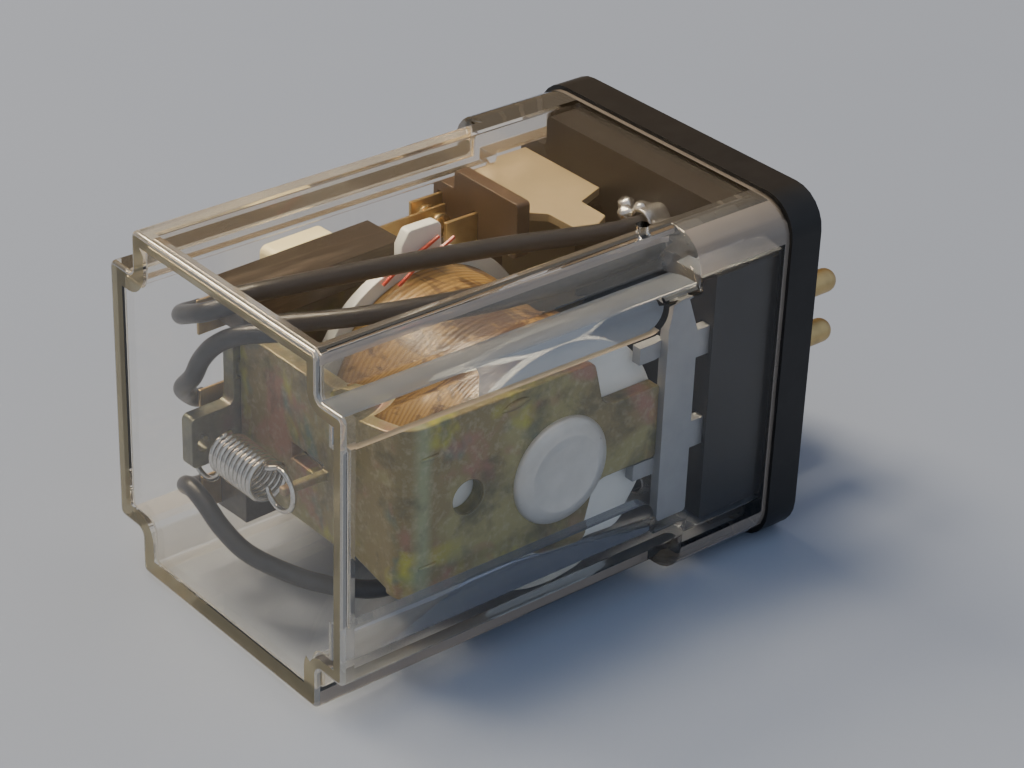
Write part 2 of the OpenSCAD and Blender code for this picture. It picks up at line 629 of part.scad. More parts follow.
module tube(p, d, sides, first) {
    t = tangents(p);
    n = normals(t, first);
    rings = [for (i = [0 : len(p) - 1]) for (k = [0 : sides - 1]) let (a = 360 * k / sides, b = cross(t[i], n[i]))
        p[i] + d / 2 * (cos(a) * n[i] + sin(a) * b)];
    last = len(rings) - sides;
    faces = concat([[for (k = [0 : sides - 1]) k]], [[for (k = [sides - 1 : -1 : 0]) last + k]],
        [for (i = [0 : len(p) - 2]) for (k = [0 : sides - 1]) let (a = i * sides + k, b = i * sides + (k + 1) % sides)
            each [[a, a + sides, b], [b, a + sides, b + sides]]]);
    polyhedron(rings, faces);
}

// Smooth curve through hand-chosen points, with n steps between neighbours
function spline(q, n) = concat([for (i = [0 : len(q) - 2]) let (
        a = q[max(i - 1, 0)], b = q[i], c = q[i + 1], d = q[min(i + 2, len(q) - 1)])
    for (s = [0 : n - 1]) let (u = s / n)
        0.5 * ((2 * b) + (c - a) * u + (2 * a - 5 * b + 4 * c - d) * u * u + (3 * b - a - 3 * c + d) * u * u * u)],
    [q[len(q) - 1]]);

// Spring route: near hook, curls, far hook
function hook(y, side, from, to, n) = [for (i = [0 : n]) let (a = from + (to - from) * i / n)
    [spring_x, y + side * hook_r * sin(a), spring_z + hook_r * cos(a)]];
function curl_point(t) = [spring_x + spring_r * sin(360 * t), coil_start_y + curl_pitch * t,
    spring_z + spring_r * cos(360 * t)];
curl_steps = 8;
curls = [for (i = [0 : curl_steps * spring_turns]) curl_point(i / curl_steps)];
spring_route = concat(
    hook(near_hook_y, -1, 235, -8, 9),
    [[spring_x - 0.35, coil_start_y - 0.75, spring_z + 1.95]],
    curls,
    [[spring_x + 0.6, coil_end_y + 0.75, spring_z + 1.85], [spring_x + 0.2, far_hook_y - 1.4, spring_z + 1.95]],
    hook(far_hook_y, 1, 0, 235, 9));

// Least gap between parts of the spring that are at least three quarters of a curl apart
far_apart = 6;
spring_gap = min([for (i = [0 : len(spring_route) - 1]) for (j = [i + far_apart : 1 : len(spring_route) - 1])
    norm(spring_route[i] - spring_route[j])]) - spring_wire_d;
echo(spring_least_gap = spring_gap);

module return_spring() color([0.62, 0.6, 0.56]) placed() tube(spring_route, spring_wire_d, 6, [1, 0, 0.3]);

// Leads from the moving blades, round the closed end, to the base
lead_y = blade_y + blade_t / 2 + lead_d / 2 + 0.1;
lead_x0 = carrier_x0 - 0.8;
ferrule_x = block_x - ferrule_l;
lead_end_y = [-5, -7.6, -4.4];
lead_top_z = cover_z1 - wall - 4.25;
lead_end_z = [3.6, lead_top_z, lead_top_z];
lead_middle = [
    [[5.8, 11.85, 8.4], [4.6, 11.4, 8.9], [3.5, 10.2, 10.1], [3, 8.4, 10.8], [3, 6.4, 10.1], [3.3, 4.4, 8.6], [4, 1.8, 7.2],
     [5.6, -1, 6.2], [8.2, -3.4, 5], [12, -4.8, 3.6], [17, -5, 3.1], [24, -5, 3], [32, -5, 3], [38, -5, 3.3]],
    [[5.8, 11.85, 17.5], [4.6, 11.4, 18.6], [3.2, 9.8, 20.4], [2.8, 7.6, 22.6], [2.9, 6.4, 24.8], [3.3, 4.8, 26.8],
     [4.2, 2.6, 28.4], [6.2, -0.4, 29.4], [10, -3.8, 30.2], [16, -6.6, 30.6], [24, -8.2, 30.4], [32, -8.6, 30.2],
     [38, -8, 29.8]],
    [[5.8, 11.85, 26.3], [4.6, 11.5, 26.6], [3.5, 10.2, 27.3], [3, 8.2, 28.4], [3.2, 5.8, 29.6], [4.8, 4, 30.6], [8, 2.6, 31],
     [14, 1.2, 31], [21, -0.2, 30.8], [28, -1.8, 30.6], [34, -3.4, 30.3], [39, -4.4, 29.9]]];
function lead_points(k) = concat([[lead_x0, lead_y, pole_z + (k - 2) * pole_pitch]], lead_middle[k - 1],
    [[ferrule_x - 0.4, lead_end_y[k - 1], lead_end_z[k - 1]], [block_x - 0.05, lead_end_y[k - 1], lead_end_z[k - 1]]]);
module lead(k) color([0.2, 0.21, 0.23]) placed() tube(spline(lead_points(k), 2), lead_d, 8, [0, 0.2, 1]);

module lead_ferrules() color([0.55, 0.55, 0.56]) placed() for (k = [0 : 2]) {
    difference() {
        rod_x(lead_end_y[k], lead_end_z[k], lead_d / 2 + 0.45, ferrule_x, block_x);
        rod_x(lead_end_y[k], lead_end_z[k], lead_d / 2 + 0.05, ferrule_x - cut, block_x + cut);
    }
}

// Fine coil wires from the winding up to the lug of the far flange
wire_route = [[coil_x - 5, wound_y1 - 0.4, coil_z + winding_d / 2 + tape_t + 0.02], [coil_x - 4, wound_y1 - 0.5, coil_z + 11.6],
    [coil_x - 2.6, wound_y1 - 0.4, coil_z + 12.4], [coil_x - 0.6, wound_y1 - 0.35, coil_z + 13],
    [coil_x + 1.2, wound_y1 - 0.35, coil_z + 13.8]];
module coil_wires() color([0.72, 0.22, 0.14]) placed() for (s = [0, 1])
    tube(spline([for (p = wire_route) p + s * [1.2, -0.7, -0.15]], 3), 0.4, 6, [0, 0.2, 1]);

base();
plug_pins();
cover();
bracket_strip();
yoke();
core();
bobbin();
coil_winding();
coil_tape();
coil_wires();
contact_block();
contact_barrier();
closed_contact(1);  // closed_contact_1
closed_contact(2);  // closed_contact_2
closed_contact(3);  // closed_contact_3
open_contact(1);  // open_contact_1
open_contact(2);  // open_contact_2
open_contact(3);  // open_contact_3
fixed_buttons();
armature();
blade_carrier();
blade_clamp();
clamp_rivets();
moving_blade(1);  // moving_blade_1
moving_blade(2);  // moving_blade_2
moving_blade(3);  // moving_blade_3
moving_buttons();
return_spring();
lead(1);  // lead_1
lead(2);  // lead_2
lead(3);  // lead_3
lead_ferrules();
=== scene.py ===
"""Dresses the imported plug-in relay: clear cover, magnet coil, contacts, spring, leads and plug."""
import math

import bmesh
import bpy
from bpy.props import FloatProperty, FloatVectorProperty, IntProperty, PointerProperty
from mathutils import Matrix, Vector, noise


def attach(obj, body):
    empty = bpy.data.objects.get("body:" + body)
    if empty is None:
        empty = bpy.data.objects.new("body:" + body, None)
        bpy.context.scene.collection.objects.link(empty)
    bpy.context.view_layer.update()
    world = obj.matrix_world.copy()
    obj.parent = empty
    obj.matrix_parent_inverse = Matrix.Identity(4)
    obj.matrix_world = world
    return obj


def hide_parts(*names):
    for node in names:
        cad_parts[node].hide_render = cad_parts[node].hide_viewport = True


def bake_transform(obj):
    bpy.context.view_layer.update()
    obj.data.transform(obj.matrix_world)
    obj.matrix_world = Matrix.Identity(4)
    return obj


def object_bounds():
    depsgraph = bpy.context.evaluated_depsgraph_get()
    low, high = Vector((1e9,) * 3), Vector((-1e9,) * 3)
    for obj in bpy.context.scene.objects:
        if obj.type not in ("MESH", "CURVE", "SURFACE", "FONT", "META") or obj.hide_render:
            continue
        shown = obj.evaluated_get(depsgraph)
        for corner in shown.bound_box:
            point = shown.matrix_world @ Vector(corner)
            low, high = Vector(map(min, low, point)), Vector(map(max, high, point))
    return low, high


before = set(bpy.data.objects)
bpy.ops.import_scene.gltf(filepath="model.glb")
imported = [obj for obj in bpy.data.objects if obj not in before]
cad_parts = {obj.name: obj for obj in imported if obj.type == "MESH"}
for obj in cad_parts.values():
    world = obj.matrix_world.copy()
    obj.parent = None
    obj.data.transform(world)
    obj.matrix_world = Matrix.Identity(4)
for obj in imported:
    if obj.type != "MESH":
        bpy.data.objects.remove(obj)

bl_info = {
    "name": "Plug-in relay",
    "version": (1, 0, 0),
    "blender": (4, 5, 0),
    "location": "3D View > Sidebar > Relay",
    "description": "Builds the looks of a clear-cased plug-in relay around its packed frame",
    "category": "Object",
}

MM = 0.001
TINY = 1e-6  # metres; points this close are one
CLOSED_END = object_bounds()[0][0] / MM
BASE, COVER, ARMATURE = "base_body", "cover_body", "armature_body"
SMOOTH_ANGLE, BEVEL_ANGLE = math.radians(38), math.radians(40)
FLAT_ANGLE = math.radians(0.6)          # facets that turn less than this are one flat face

# The cover, in millimetres: x from its closed end, y from its middle, z from the tabletop
COVER_LENGTH = 48.8
COVER_LOW, COVER_HIGH, MIDDLE_HEIGHT = 0.4, 35.1, 17.75
WALL = 1.25
STEP_SIDE, STEP_HEIGHT = 13.35, 13.05   # how far from the middle the step's riser and its ledge are
FLARE_START, RUN_OUT = 38.2, 3.0        # start of the full-cornered open end, and the slope before it
RAIL_FOOT = 27.0                        # height of the upper rail's lower face
RAIL_BACK, RAIL_FACE, RAIL_FRONT = -16.5, -15.2, -14.0   # y that its foot and its inner face lie between
EDGE, INNER_EDGE = 0.36, 0.25           # radii of the closed end's outer and inner rims
LIP = 3.6                               # thickness of the base's lip, behind the cover

# Strips of the cover's faces with painted light of their own, in millimetres
FIRST_STRIP = 0.3  # beside the rounded edge, so that the corners stay clean
CROWDED = 0.2      # corners of a strip that are closer than this are merged
SEEN_BESIDE = 0.6  # how much of a wall still shows beside its edge
RIM_DEPTH = 0.5    # how far the painted glow reaches in from the open rim
RAIL_SHEEN_START = 15.0  # from here on the upper rail has a painted reflection
LOW_WALL_TOP, HIGH_WALL_FOOT = COVER_LOW + WALL + SEEN_BESIDE, COVER_HIGH - WALL
NEAR_WALL_END, FAR_WALL_END = WALL - STEP_SIDE, STEP_SIDE - WALL - SEEN_BESIDE
MARGIN = 0.25      # a face this near to a plane lies on it
FACING = 0.9       # a face looks along an axis when its normal has this share of it

# What a face of the cover shows, in the order of the cover's materials; all but the plain faces carry painted
# light
(PLAIN, PAINTED_EDGE_LIGHT, OPEN_RIM, WALL_END, STEP, WALL_SIDE, NEAR_LEDGE, GOLDEN_FOOT, RAIL,
 OPEN_CORNER) = range(10)

# The three poles of the contacts: the middle one's height, their distance and their place
POLE_Z, POLE_PITCH, CONTACT_X = 17.35, 8.95, 31.9

# The fitted camera: turn, tilt and roll in degrees, place in millimetres, and focal length
CAMERA_ANGLES, CAMERA_PLACE = (40.56, 29.96, 2.13), (-112.68, -168.79, 143.33)
FOCAL_PIXELS, PHOTO_WIDTH, SENSOR = 2803.05, 1024, 36

# The area lamps: name, size in metres, watts, and place in metres. Both point at the frame's origin
LAMPS = (("key", 0.36, 12.0, (-0.12, 0.42, 1.25)), ("edge_glint", 0.36, 9.5, (-0.2, 0.78, 0.88)))
ROOM_LIGHT, ROOM_SHADE = 0.68, 0.42     # strength of the room's light, and its dark side's share of it

# The plug: the circle of its pins, and a pin's thickness and length
PIN_CIRCLE, PIN_SIZE, PIN_LENGTH = 19.05, 2.36, 11.0

# Thickness of the contact buttons and of the clamp's rivets
BUTTON_SIZE, RIVET_SIZE = 2.4, 3.2

# The core's axis: x and z of a line along Y
CORE = (25.0, 15.9)

# The armature stands open about this hinge line, in millimetres from the cover's closed end
PIVOT = Vector((8.0, 8.25, 0.0))
OPEN_ANGLE = math.radians(2.6)


def at(x, y, z):
    """A point given in millimetres, x from the cover's closed end, as metres in the frame."""
    return Vector(((x + CLOSED_END) * MM, y * MM, z * MM))


def swung(x, y, z):
    """A point of the closed armature, turned to where it stands at rest."""
    c, s = math.cos(OPEN_ANGLE), math.sin(OPEN_ANGLE)
    dx, dy = x - PIVOT.x, y - PIVOT.y
    return at(PIVOT.x + c * dx - s * dy, PIVOT.y + s * dx + c * dy, z)


# ---- Materials

class Wire:
    """A value in a node tree, so that shader maths reads as plain expressions."""

    def __init__(self, tree, socket):
        self.tree, self.socket = tree, socket

    def _maths(self, operation, first, second):
        node = self.tree.nodes.new("ShaderNodeMath")
        node.operation = operation
        for slot, value in zip(node.inputs, (first, second)):
            if isinstance(value, Wire):
                self.tree.links.new(value.socket, slot)
            else:
                slot.default_value = value
        return Wire(self.tree, node.outputs[0])

    def __add__(self, other): return self._maths("ADD", self, other)
    def __radd__(self, other): return self._maths("ADD", other, self)
    def __sub__(self, other): return self._maths("SUBTRACT", self, other)
    def __rsub__(self, other): return self._maths("SUBTRACT", other, self)
    def __mul__(self, other): return self._maths("MULTIPLY", self, other)
    def __rmul__(self, other): return self._maths("MULTIPLY", other, self)
    def __truediv__(self, other): return self._maths("DIVIDE", self, other)
    def __rtruediv__(self, other): return self._maths("DIVIDE", other, self)
    def __abs__(self): return self._maths("ABSOLUTE", self, 0.0)
    def wave(self): return self._maths("SINE", self, 0.0)


def connect(tree, socket, value):
    """Links a wire or an output to a socket, or sets the socket's own value."""
    if isinstance(value, Wire):
        value = value.socket
    if isinstance(value, bpy.types.NodeSocket):
        tree.links.new(value, socket)
    else:
        socket.default_value = value


def add_node(tree, kind, settings, sockets):
    """Adds a node, its settings first and then the values or links of its sockets."""
    node = tree.nodes.new(kind)
    for key, value in (settings or {}).items():
        if key == "stops":
            ramp = node.color_ramp
            while len(ramp.elements) < len(value):
                ramp.elements.new(0.5)
            for element, (position, colour) in zip(ramp.elements, value):
                element.position, element.color = position, (*colour, 1)
        else:
            setattr(node, key, value)
    for key, value in sockets.items():
        connect(tree, node.inputs[key.replace("_", " ")], value)
    return node


class Finish:
    """A new material, and the few calls that its recipe needs."""

    def __init__(self, name, colour, roughness, **settings):
        self.material = bpy.data.materials.new(name)
        self.material.use_nodes = True
        self.tree = self.material.node_tree
        self.shader = self.tree.nodes["Principled BSDF"]
        self.shader.inputs["Base Color"].default_value = (*colour, 1)
        self.shader.inputs["Roughness"].default_value = roughness
        for socket, value in settings.items():
            self.shader.inputs[socket.replace("_", " ")].default_value = value
        self.place = self.add("ShaderNodeTexCoord").outputs["Object"]

    def add(self, kind, settings=None, **sockets):
        return add_node(self.tree, kind, settings, sockets)

    def connect(self, socket, value):
        connect(self.tree, socket, value)

    def patches(self, scale, detail=3.0, roughness=0.55, stretch=(1, 1, 1), distortion=0.0):
        """Soft noise between 0 and 1, with scale in patches a metre."""
        mapped = self.add("ShaderNodeMapping", Vector=self.place, Scale=stretch)
        node = self.add("ShaderNodeTexNoise", Vector=mapped.outputs[0], Scale=scale, Detail=detail,
                        Roughness=roughness, Distortion=distortion)
        return Wire(self.tree, node.outputs["Fac"])

    def axis(self, name):
        """One Object coordinate in millimetres."""
        split = self.add("ShaderNodeSeparateXYZ", Vector=self.place)
        return Wire(self.tree, split.outputs[name]) * (1 / MM)

    def turns(self, pitch):
        """Waves along Y, one for each turn of a wire of that pitch in millimetres."""
        return (self.axis("Y") * (2 * math.pi / pitch)).wave()

    def ramp(self, value, stops):
        """Colours between (position, colour) stops."""
        return self.add("ShaderNodeValToRGB", {"stops": stops}, Fac=value).outputs["Color"]

    def mix(self, factor, first, second):
        """The first colour where the factor is 0, the second where it is 1."""
        node = self.add("ShaderNodeMix", {"data_type": "RGBA"})
        self.connect(node.inputs[0], factor)
        self.connect(node.inputs[6], (*first, 1) if isinstance(first, tuple) else first)
        self.connect(node.inputs[7], (*second, 1) if isinstance(second, tuple) else second)
        return node.outputs[2]

    def colour(self, value):
        self.connect(self.shader.inputs["Base Color"], value)

    def tints(self, first, second, *patches, **more):
        """Colours the finish in patches of two tints."""
        self.colour(self.mix(self.patches(*patches, **more), first, second))

    def roughness(self, value):
        self.connect(self.shader.inputs["Roughness"], value)

    def bump(self, height, depth, strength=1.0):
        """Bumps of the given depth in millimetres."""
        node = self.add("ShaderNodeBump", Height=height, Distance=depth * MM, Strength=strength)
        self.connect(self.shader.inputs["Normal"], node.outputs["Normal"])


def let_light_in(f):
    """Lets lamps shine straight through a clear finish on to what lies behind it."""
    clear = f.add("ShaderNodeBsdfTransparent", Color=(0.76, 0.76, 0.755, 1))
    both = f.add("ShaderNodeMixShader")
    f.connect(both.inputs[0], f.add("ShaderNodeLightPath").outputs["Is Shadow Ray"])
    f.connect(both.inputs[1], f.shader.outputs[0])
    f.connect(both.inputs[2], clear.outputs[0])
    f.connect(f.tree.nodes["Material Output"].inputs["Surface"], both.outputs[0])
    return f.material


def clear_plastic():
    """The cover's smooth faces."""
    f = Finish("clear_plastic", (1.0, 0.993, 0.98), 0.0, Transmission_Weight=1.0, IOR=1.32)
    return let_light_in(f)


def clear_edge():
    """The cover's rounded outer edges, a little milky; their olive tint is painted light from the walls."""
    f = Finish("clear_edge", (0.66, 0.61, 0.5), 0.1, Transmission_Weight=0.8, IOR=1.4, Coat_Weight=1.0,
               Coat_IOR=2.7, Coat_Roughness=0.12)
    return let_light_in(f)


def lit(name, plain, light, dark, roughness, scale, detail=2, stretch=(1, 1, 1), **settings):
    """A strip of clear wall with painted light in its colour, in soft drifts between two tints of it."""
    f = Finish(name, plain, roughness, **settings)
    f.tints(light, dark, scale, detail, stretch=stretch)
    return let_light_in(f)


def clear_step():
    """Risers, far ledges and run-outs of the step: wall seen end on, whose dim warm tint is painted light."""
    return lit("clear_step", (0.93, 0.9, 0.84), (0.96, 0.93, 0.87), (0.86, 0.8, 0.7), 0.06, 260,
               Transmission_Weight=0.93, IOR=1.18, Coat_Weight=0.6)


def wall_ends():
    """The walls as they show in the closed end: their dim brownish colour is painted light, from light that
    runs along them.
    """
    return lit("wall_ends", (0.3, 0.26, 0.18), (0.36, 0.315, 0.18), (0.22, 0.18, 0.1), 0.16, 180,
               Transmission_Weight=0.5, IOR=1.2, Coat_Weight=0.3)


def wall_sides():
    """The top and bottom walls as they show in the riser of the step: a milky tan that is painted light,
    where light runs along the walls.
    """
    return lit("wall_sides", (0.5, 0.45, 0.36), (0.66, 0.57, 0.48), (0.46, 0.39, 0.33), 0.2, 160, 3,
               (0.2, 1, 1), Transmission_Weight=0.45, IOR=1.2, Coat_Weight=0.8)


def painted_sheen(name, light, dark, clear=0.5):
    """Plastic with painted reflections and glow in its colour, in drifts along the cover."""
    return lit(name, light, light, dark, 0.06, 110, 3, (0.3, 1, 1), Transmission_Weight=clear, IOR=1.18,
               Coat_Weight=0.6)


def clear_ledge():
    """The step's ledges on the near side, with a painted reflection of the cool room."""
    return painted_sheen("clear_ledge", (0.27, 0.29, 0.32), (0.18, 0.2, 0.23))


def clear_corner():
    """The near corners of the open end, with a painted glow of warm light."""
    return painted_sheen("clear_corner", (0.72, 0.63, 0.54), (0.48, 0.41, 0.35), 0.66)


def clear_rail():
    """The inner face of the upper guide rail, with a painted pale reflection of the room."""
    return painted_sheen("clear_rail", (0.6, 0.64, 0.7), (0.42, 0.46, 0.52))


def golden_edge():
    """The foot of the upper rail, with a painted golden glow of the light inside."""
    return lit("golden_edge", (0.6, 0.5, 0.36), (0.66, 0.55, 0.38), (0.42, 0.33, 0.22), 0.12, 420, 3,
               Transmission_Weight=0.2, IOR=1.3, Coat_Weight=0.6)


def clear_rim():
    """The rough rim that the walls lead the light to; its warm grey is painted light."""
    f = Finish("clear_rim", (0.62, 0.56, 0.48), 0.6)
    f.tints((0.66, 0.61, 0.54), (0.42, 0.37, 0.31), 240, 2)
    return f.material


def black_plastic():
    """Black moulded plastic, a little dusty."""
    f = Finish("black_plastic", (0.014, 0.014, 0.016), 0.42, Specular_IOR_Level=0.3)
    grain = f.patches(1700, 2)
    f.tints((0.008, 0.008, 0.009), (0.018, 0.017, 0.017), 320, 3)
    f.roughness(0.34 + 0.16 * f.patches(700, 3))
    f.bump(grain, 0.005, 0.4)
    return f.material


def yellow_plating(name, drift, tone, bend=None):
    """Iridescent yellow chromate: olive brown with green, rose and blue-grey drifts, dull stains, and a
    painted sheen as a lighter green band by the bend.
    """
    f = Finish(name, (0.2, 0.18, 0.1), 0.36, Metallic=0.45)

    def film(scale, level, seed):
        """Where one tint of the film lies, with soft edges."""
        field = f.patches(scale, 3, 0.6, (1, 1 + seed, 1), 0.35)
        return f.ramp(field, [(level, (0, 0, 0)), (level + 0.12, (1, 1, 1))])

    colour = f.mix(film(110, 0.46, 0.1), (0.24, 0.2, 0.1), (0.3, 0.28, 0.13))
    for scale, level, seed, tint in ((150, 0.52, 0.2, (0.32, 0.18, 0.13)),
                                     (130, 0.56, 0.3, (0.14, 0.2, 0.165)),
                                     (120, 0.55, 0.4, (0.42, 0.42, 0.06))):
        colour = f.mix(film(scale, level + drift, seed), colour, tint)
    if bend:
        # Painted sheen: lighter green along the bend
        near = abs(f.axis("X") - (CLOSED_END + bend)) * 0.8
        colour = f.mix(f.ramp(near, [(0.2, (0.8, 0.8, 0.8)), (0.9, (0, 0, 0))]), colour, (0.3, 0.34, 0.21))
    speckle = f.patches(1500, 3, 0.65)
    colour = f.mix(f.ramp(speckle, [(0.5, (0, 0, 0)), (0.75, (0.5, 0.5, 0.5))]), colour, (0.44, 0.41, 0.3))
    stains = f.patches(230, 4, 0.6, distortion=0.3)
    colour = f.mix(f.ramp(stains, [(0.5, (0, 0, 0)), (0.7, (0.7, 0.7, 0.7))]), colour, (0.065, 0.062, 0.048))
    f.colour(f.mix(1 - tone, colour, (0.1, 0.115, 0.12)))
    f.roughness(0.24 + 0.26 * f.patches(500, 2))
    f.bump(f.patches(700, 4), 0.06, 0.6)
    return f.material


def dull_steel():
    """Bare steel of the core, dulled by handling."""
    f = Finish("core_steel", (0.6, 0.6, 0.57), 0.3, Metallic=0.4)
    f.tints((0.5, 0.5, 0.48), (0.68, 0.68, 0.66), 420, 3)
    f.roughness(0.22 + 0.2 * f.patches(1200, 3))
    f.bump(f.patches(1800, 3), 0.02, 0.5)
    return f.material


def plated_strip():
    """Dull grey plating with faint rolling marks."""
    f = Finish("plated_strip", (0.32, 0.33, 0.35), 0.44, Metallic=0.3)
    f.tints((0.27, 0.28, 0.3), (0.36, 0.37, 0.385), 500, 3)
    f.bump(f.patches(2600, 2, stretch=(1, 1, 0.15)), 0.01, 0.5)
    return f.material


def moulded(name, light, dark, roughness):
    """Moulded plastic with a slightly uneven skin."""
    f = Finish(name, light, roughness)
    f.tints(light, dark, 380, 3)
    f.roughness(roughness - 0.06 + 0.12 * f.patches(800, 2))
    f.bump(f.patches(3200, 2), 0.015, 0.5)
    return f.material


def carrier_plastic():
    """Dark brown plastic with the pale drag lines of its mould."""
    f = Finish("carrier_plastic", (0.03, 0.024, 0.02), 0.34, Coat_Weight=0.3)
    lines = f.patches(520, 4, 0.7, stretch=(0.12, 1, 1))
    drag = f.ramp(lines, [(0.5, (0, 0, 0)), (0.68, (1, 1, 1))])
    plain = f.mix(f.patches(260, 3), (0.03, 0.022, 0.018), (0.012, 0.01, 0.009))
    f.colour(f.mix(drag, plain, (0.078, 0.06, 0.048)))
    f.roughness(0.26 + 0.24 * lines)
    f.bump(lines, 0.05, 0.6)
    return f.material


def coil_tape():
    """Thin amber tape over fine turns of wire, whose ridges show through."""
    f = Finish("coil_tape", (0.4, 0.26, 0.1), 0.36, Coat_Weight=0.15)
    turns = f.turns(0.62)
    streaks = f.patches(520, 3, 0.6, stretch=(1, 0.35, 1), distortion=0.9)
    blotches = f.ramp(streaks * 0.6 + 0.4 * f.patches(150, 2),
                      [(0.475, (0, 0, 0)), (0.54, (0.95, 0.95, 0.95))])
    amber = f.mix(turns * 0.35 + 0.35, (0.34, 0.215, 0.07), (0.17, 0.095, 0.03))
    f.colour(f.mix(blotches, amber, (0.075, 0.04, 0.02)))
    f.bump(turns * 0.5 + f.patches(1500, 3), 0.05, 0.6)
    return f.material


def copper_winding():
    """Enamelled copper, wound in fine turns."""
    f = Finish("copper_wire", (0.62, 0.25, 0.1), 0.35, Metallic=0.7)
    turns = f.turns(0.3)
    f.tints((0.66, 0.27, 0.1), (0.45, 0.16, 0.06), 900, 2)
    f.bump(turns, 0.05, 0.8)
    return f.material


def enamel():
    """Red enamel of the fine coil wires."""
    f = Finish("red_wire", (0.7, 0.06, 0.03), 0.3, Coat_Weight=0.5)
    f.tints((0.75, 0.08, 0.04), (0.5, 0.04, 0.03), 900, 2)
    return f.material


def sheet_brass(name, light, dark, roughness=0.3):
    """Brass with dull, warmer drifts and fine rolling marks."""
    f = Finish(name, light, roughness, Metallic=0.9)
    f.tints(light, dark, 700, 4, 0.6)
    f.roughness(roughness - 0.06 + 0.2 * f.patches(1100, 3))
    f.bump(f.patches(2400, 2, stretch=(0.15, 1, 1)), 0.012, 0.5)
    return f.material


def bright_steel():
    """Bright drawn wire of the spring."""
    f = Finish("spring_steel", (0.5, 0.48, 0.44), 0.13, Metallic=1.0)
    f.tints((0.78, 0.75, 0.68), (0.46, 0.43, 0.38), 1500, 2)
    return f.material


def solder():
    """Tinned ferrules and the solder on them."""
    f = Finish("ferrule_metal", (0.6, 0.6, 0.6), 0.26, Metallic=0.9)
    f.tints((0.72, 0.72, 0.71), (0.4, 0.4, 0.41), 1300, 3)
    f.bump(f.patches(1700, 3), 0.05, 0.6)
    return f.material


def sleeve():
    """Soft dark sleeve, with the faint ribs of the strands beneath."""
    f = Finish("lead_sleeve", (0.012, 0.013, 0.016), 0.36)
    f.tints((0.008, 0.009, 0.012), (0.022, 0.024, 0.03), 500, 3)
    f.roughness(0.3 + 0.16 * f.patches(900, 2))
    f.bump(f.patches(1200, 2), 0.008, 0.5)
    return f.material


def tabletop():
    """The plain pale surface that the relay lies on."""
    f = Finish("tabletop", (0.36, 0.4, 0.46), 0.5)
    f.tints((0.272, 0.322, 0.428), (0.3, 0.346, 0.45), 16, 4, 0.6)
    f.bump(f.patches(700, 3), 0.02, 0.3)
    return f.material


FINISHES = {
    "clear_plastic": clear_plastic,
    "black_plastic": black_plastic,
    "pin_brass": lambda: sheet_brass("pin_brass", (0.68, 0.5, 0.22), (0.36, 0.27, 0.14), 0.34),
    "plated_strip": plated_strip,
    "yoke_plating": lambda: yellow_plating("yoke_plating", 0.0, 1.0, 10.0),
    "armature_plating": lambda: yellow_plating("armature_plating", 0.05, 0.45),
    "core_steel": dull_steel,
    "white_plastic": lambda: moulded("white_plastic", (0.82, 0.84, 0.82), (0.72, 0.74, 0.73), 0.4),
    "copper_wire": copper_winding,
    "tape": coil_tape,
    "red_wire": enamel,
    "tan_plastic": lambda: moulded("tan_plastic", (0.34, 0.262, 0.15), (0.275, 0.215, 0.125), 0.55),
    "brown_plastic": lambda: moulded("brown_plastic", (0.085, 0.05, 0.03), (0.05, 0.032, 0.022), 0.4),
    "contact_brass": lambda: sheet_brass("contact_brass", (0.68, 0.5, 0.25), (0.42, 0.28, 0.12)),
    "contact_metal": lambda: sheet_brass("contact_metal", (0.86, 0.66, 0.34), (0.66, 0.45, 0.2), 0.18),
    "carrier_plastic": carrier_plastic,
    "cream_plastic": lambda: moulded("cream_plastic", (0.94, 0.86, 0.56), (0.86, 0.78, 0.5), 0.45),
    "rivet_brass": lambda: sheet_brass("rivet_brass", (0.66, 0.55, 0.34), (0.5, 0.4, 0.24)),
    "spring_steel": bright_steel,
    "lead_sleeve": sleeve,
    "ferrule_metal": solder,
}

# Materials made so far, by slot
MADE = {}


def finish(slot):
    """The material of a record slot, made once."""
    if slot not in MADE:
        MADE[slot] = FINISHES[slot]()
    return MADE[slot]


# ---- Shapes, in millimetres

def angles(steps):
    """Equal steps round a circle."""
    return [2 * math.pi * k / steps for k in range(steps)]


def put_in_order(elements, key):
    """Sorts a shape's vertices, edges or faces by a key."""
    rank = {element: k for k, element in enumerate(sorted(elements, key=key))}
    elements.sort(key=rank.get)
    elements.index_update()


def lathe(bm, profile, x, z, steps):
    """Turns (y, radius) pairs about the line along Y through x and z. Both ends are at radius 0."""
    rings = []
    for y, radius in profile:
        count = steps if radius else 1
        rings.append([bm.verts.new((x + radius * math.cos(a), y, z + radius * math.sin(a)))
                      for a in angles(steps)[:count]])
    for a, b in zip(rings, rings[1:]):
        for k in range(steps):
            j = (k + 1) % steps
            corners = [a[k % len(a)], a[j % len(a)], b[j % len(b)], b[k % len(b)]]
            unique = list(dict.fromkeys(corners))
            if len(unique) > 2:
                bm.faces.new(unique)


def spline(points, steps):
    """Smooth curve through given points."""
    points = [Vector(p) for p in points]
    route = []
    for i in range(len(points) - 1):
        a, b, c = points[max(i - 1, 0)], points[i], points[i + 1]
        d = points[min(i + 2, len(points) - 1)]
        for k in range(steps):
            u = k / steps
            route.append(0.5 * (2 * b + (c - a) * u + (2 * a - 5 * b + 4 * c - d) * u * u
                                + (3 * b - a - 3 * c + d) * u * u * u))
    return route + [points[-1]]


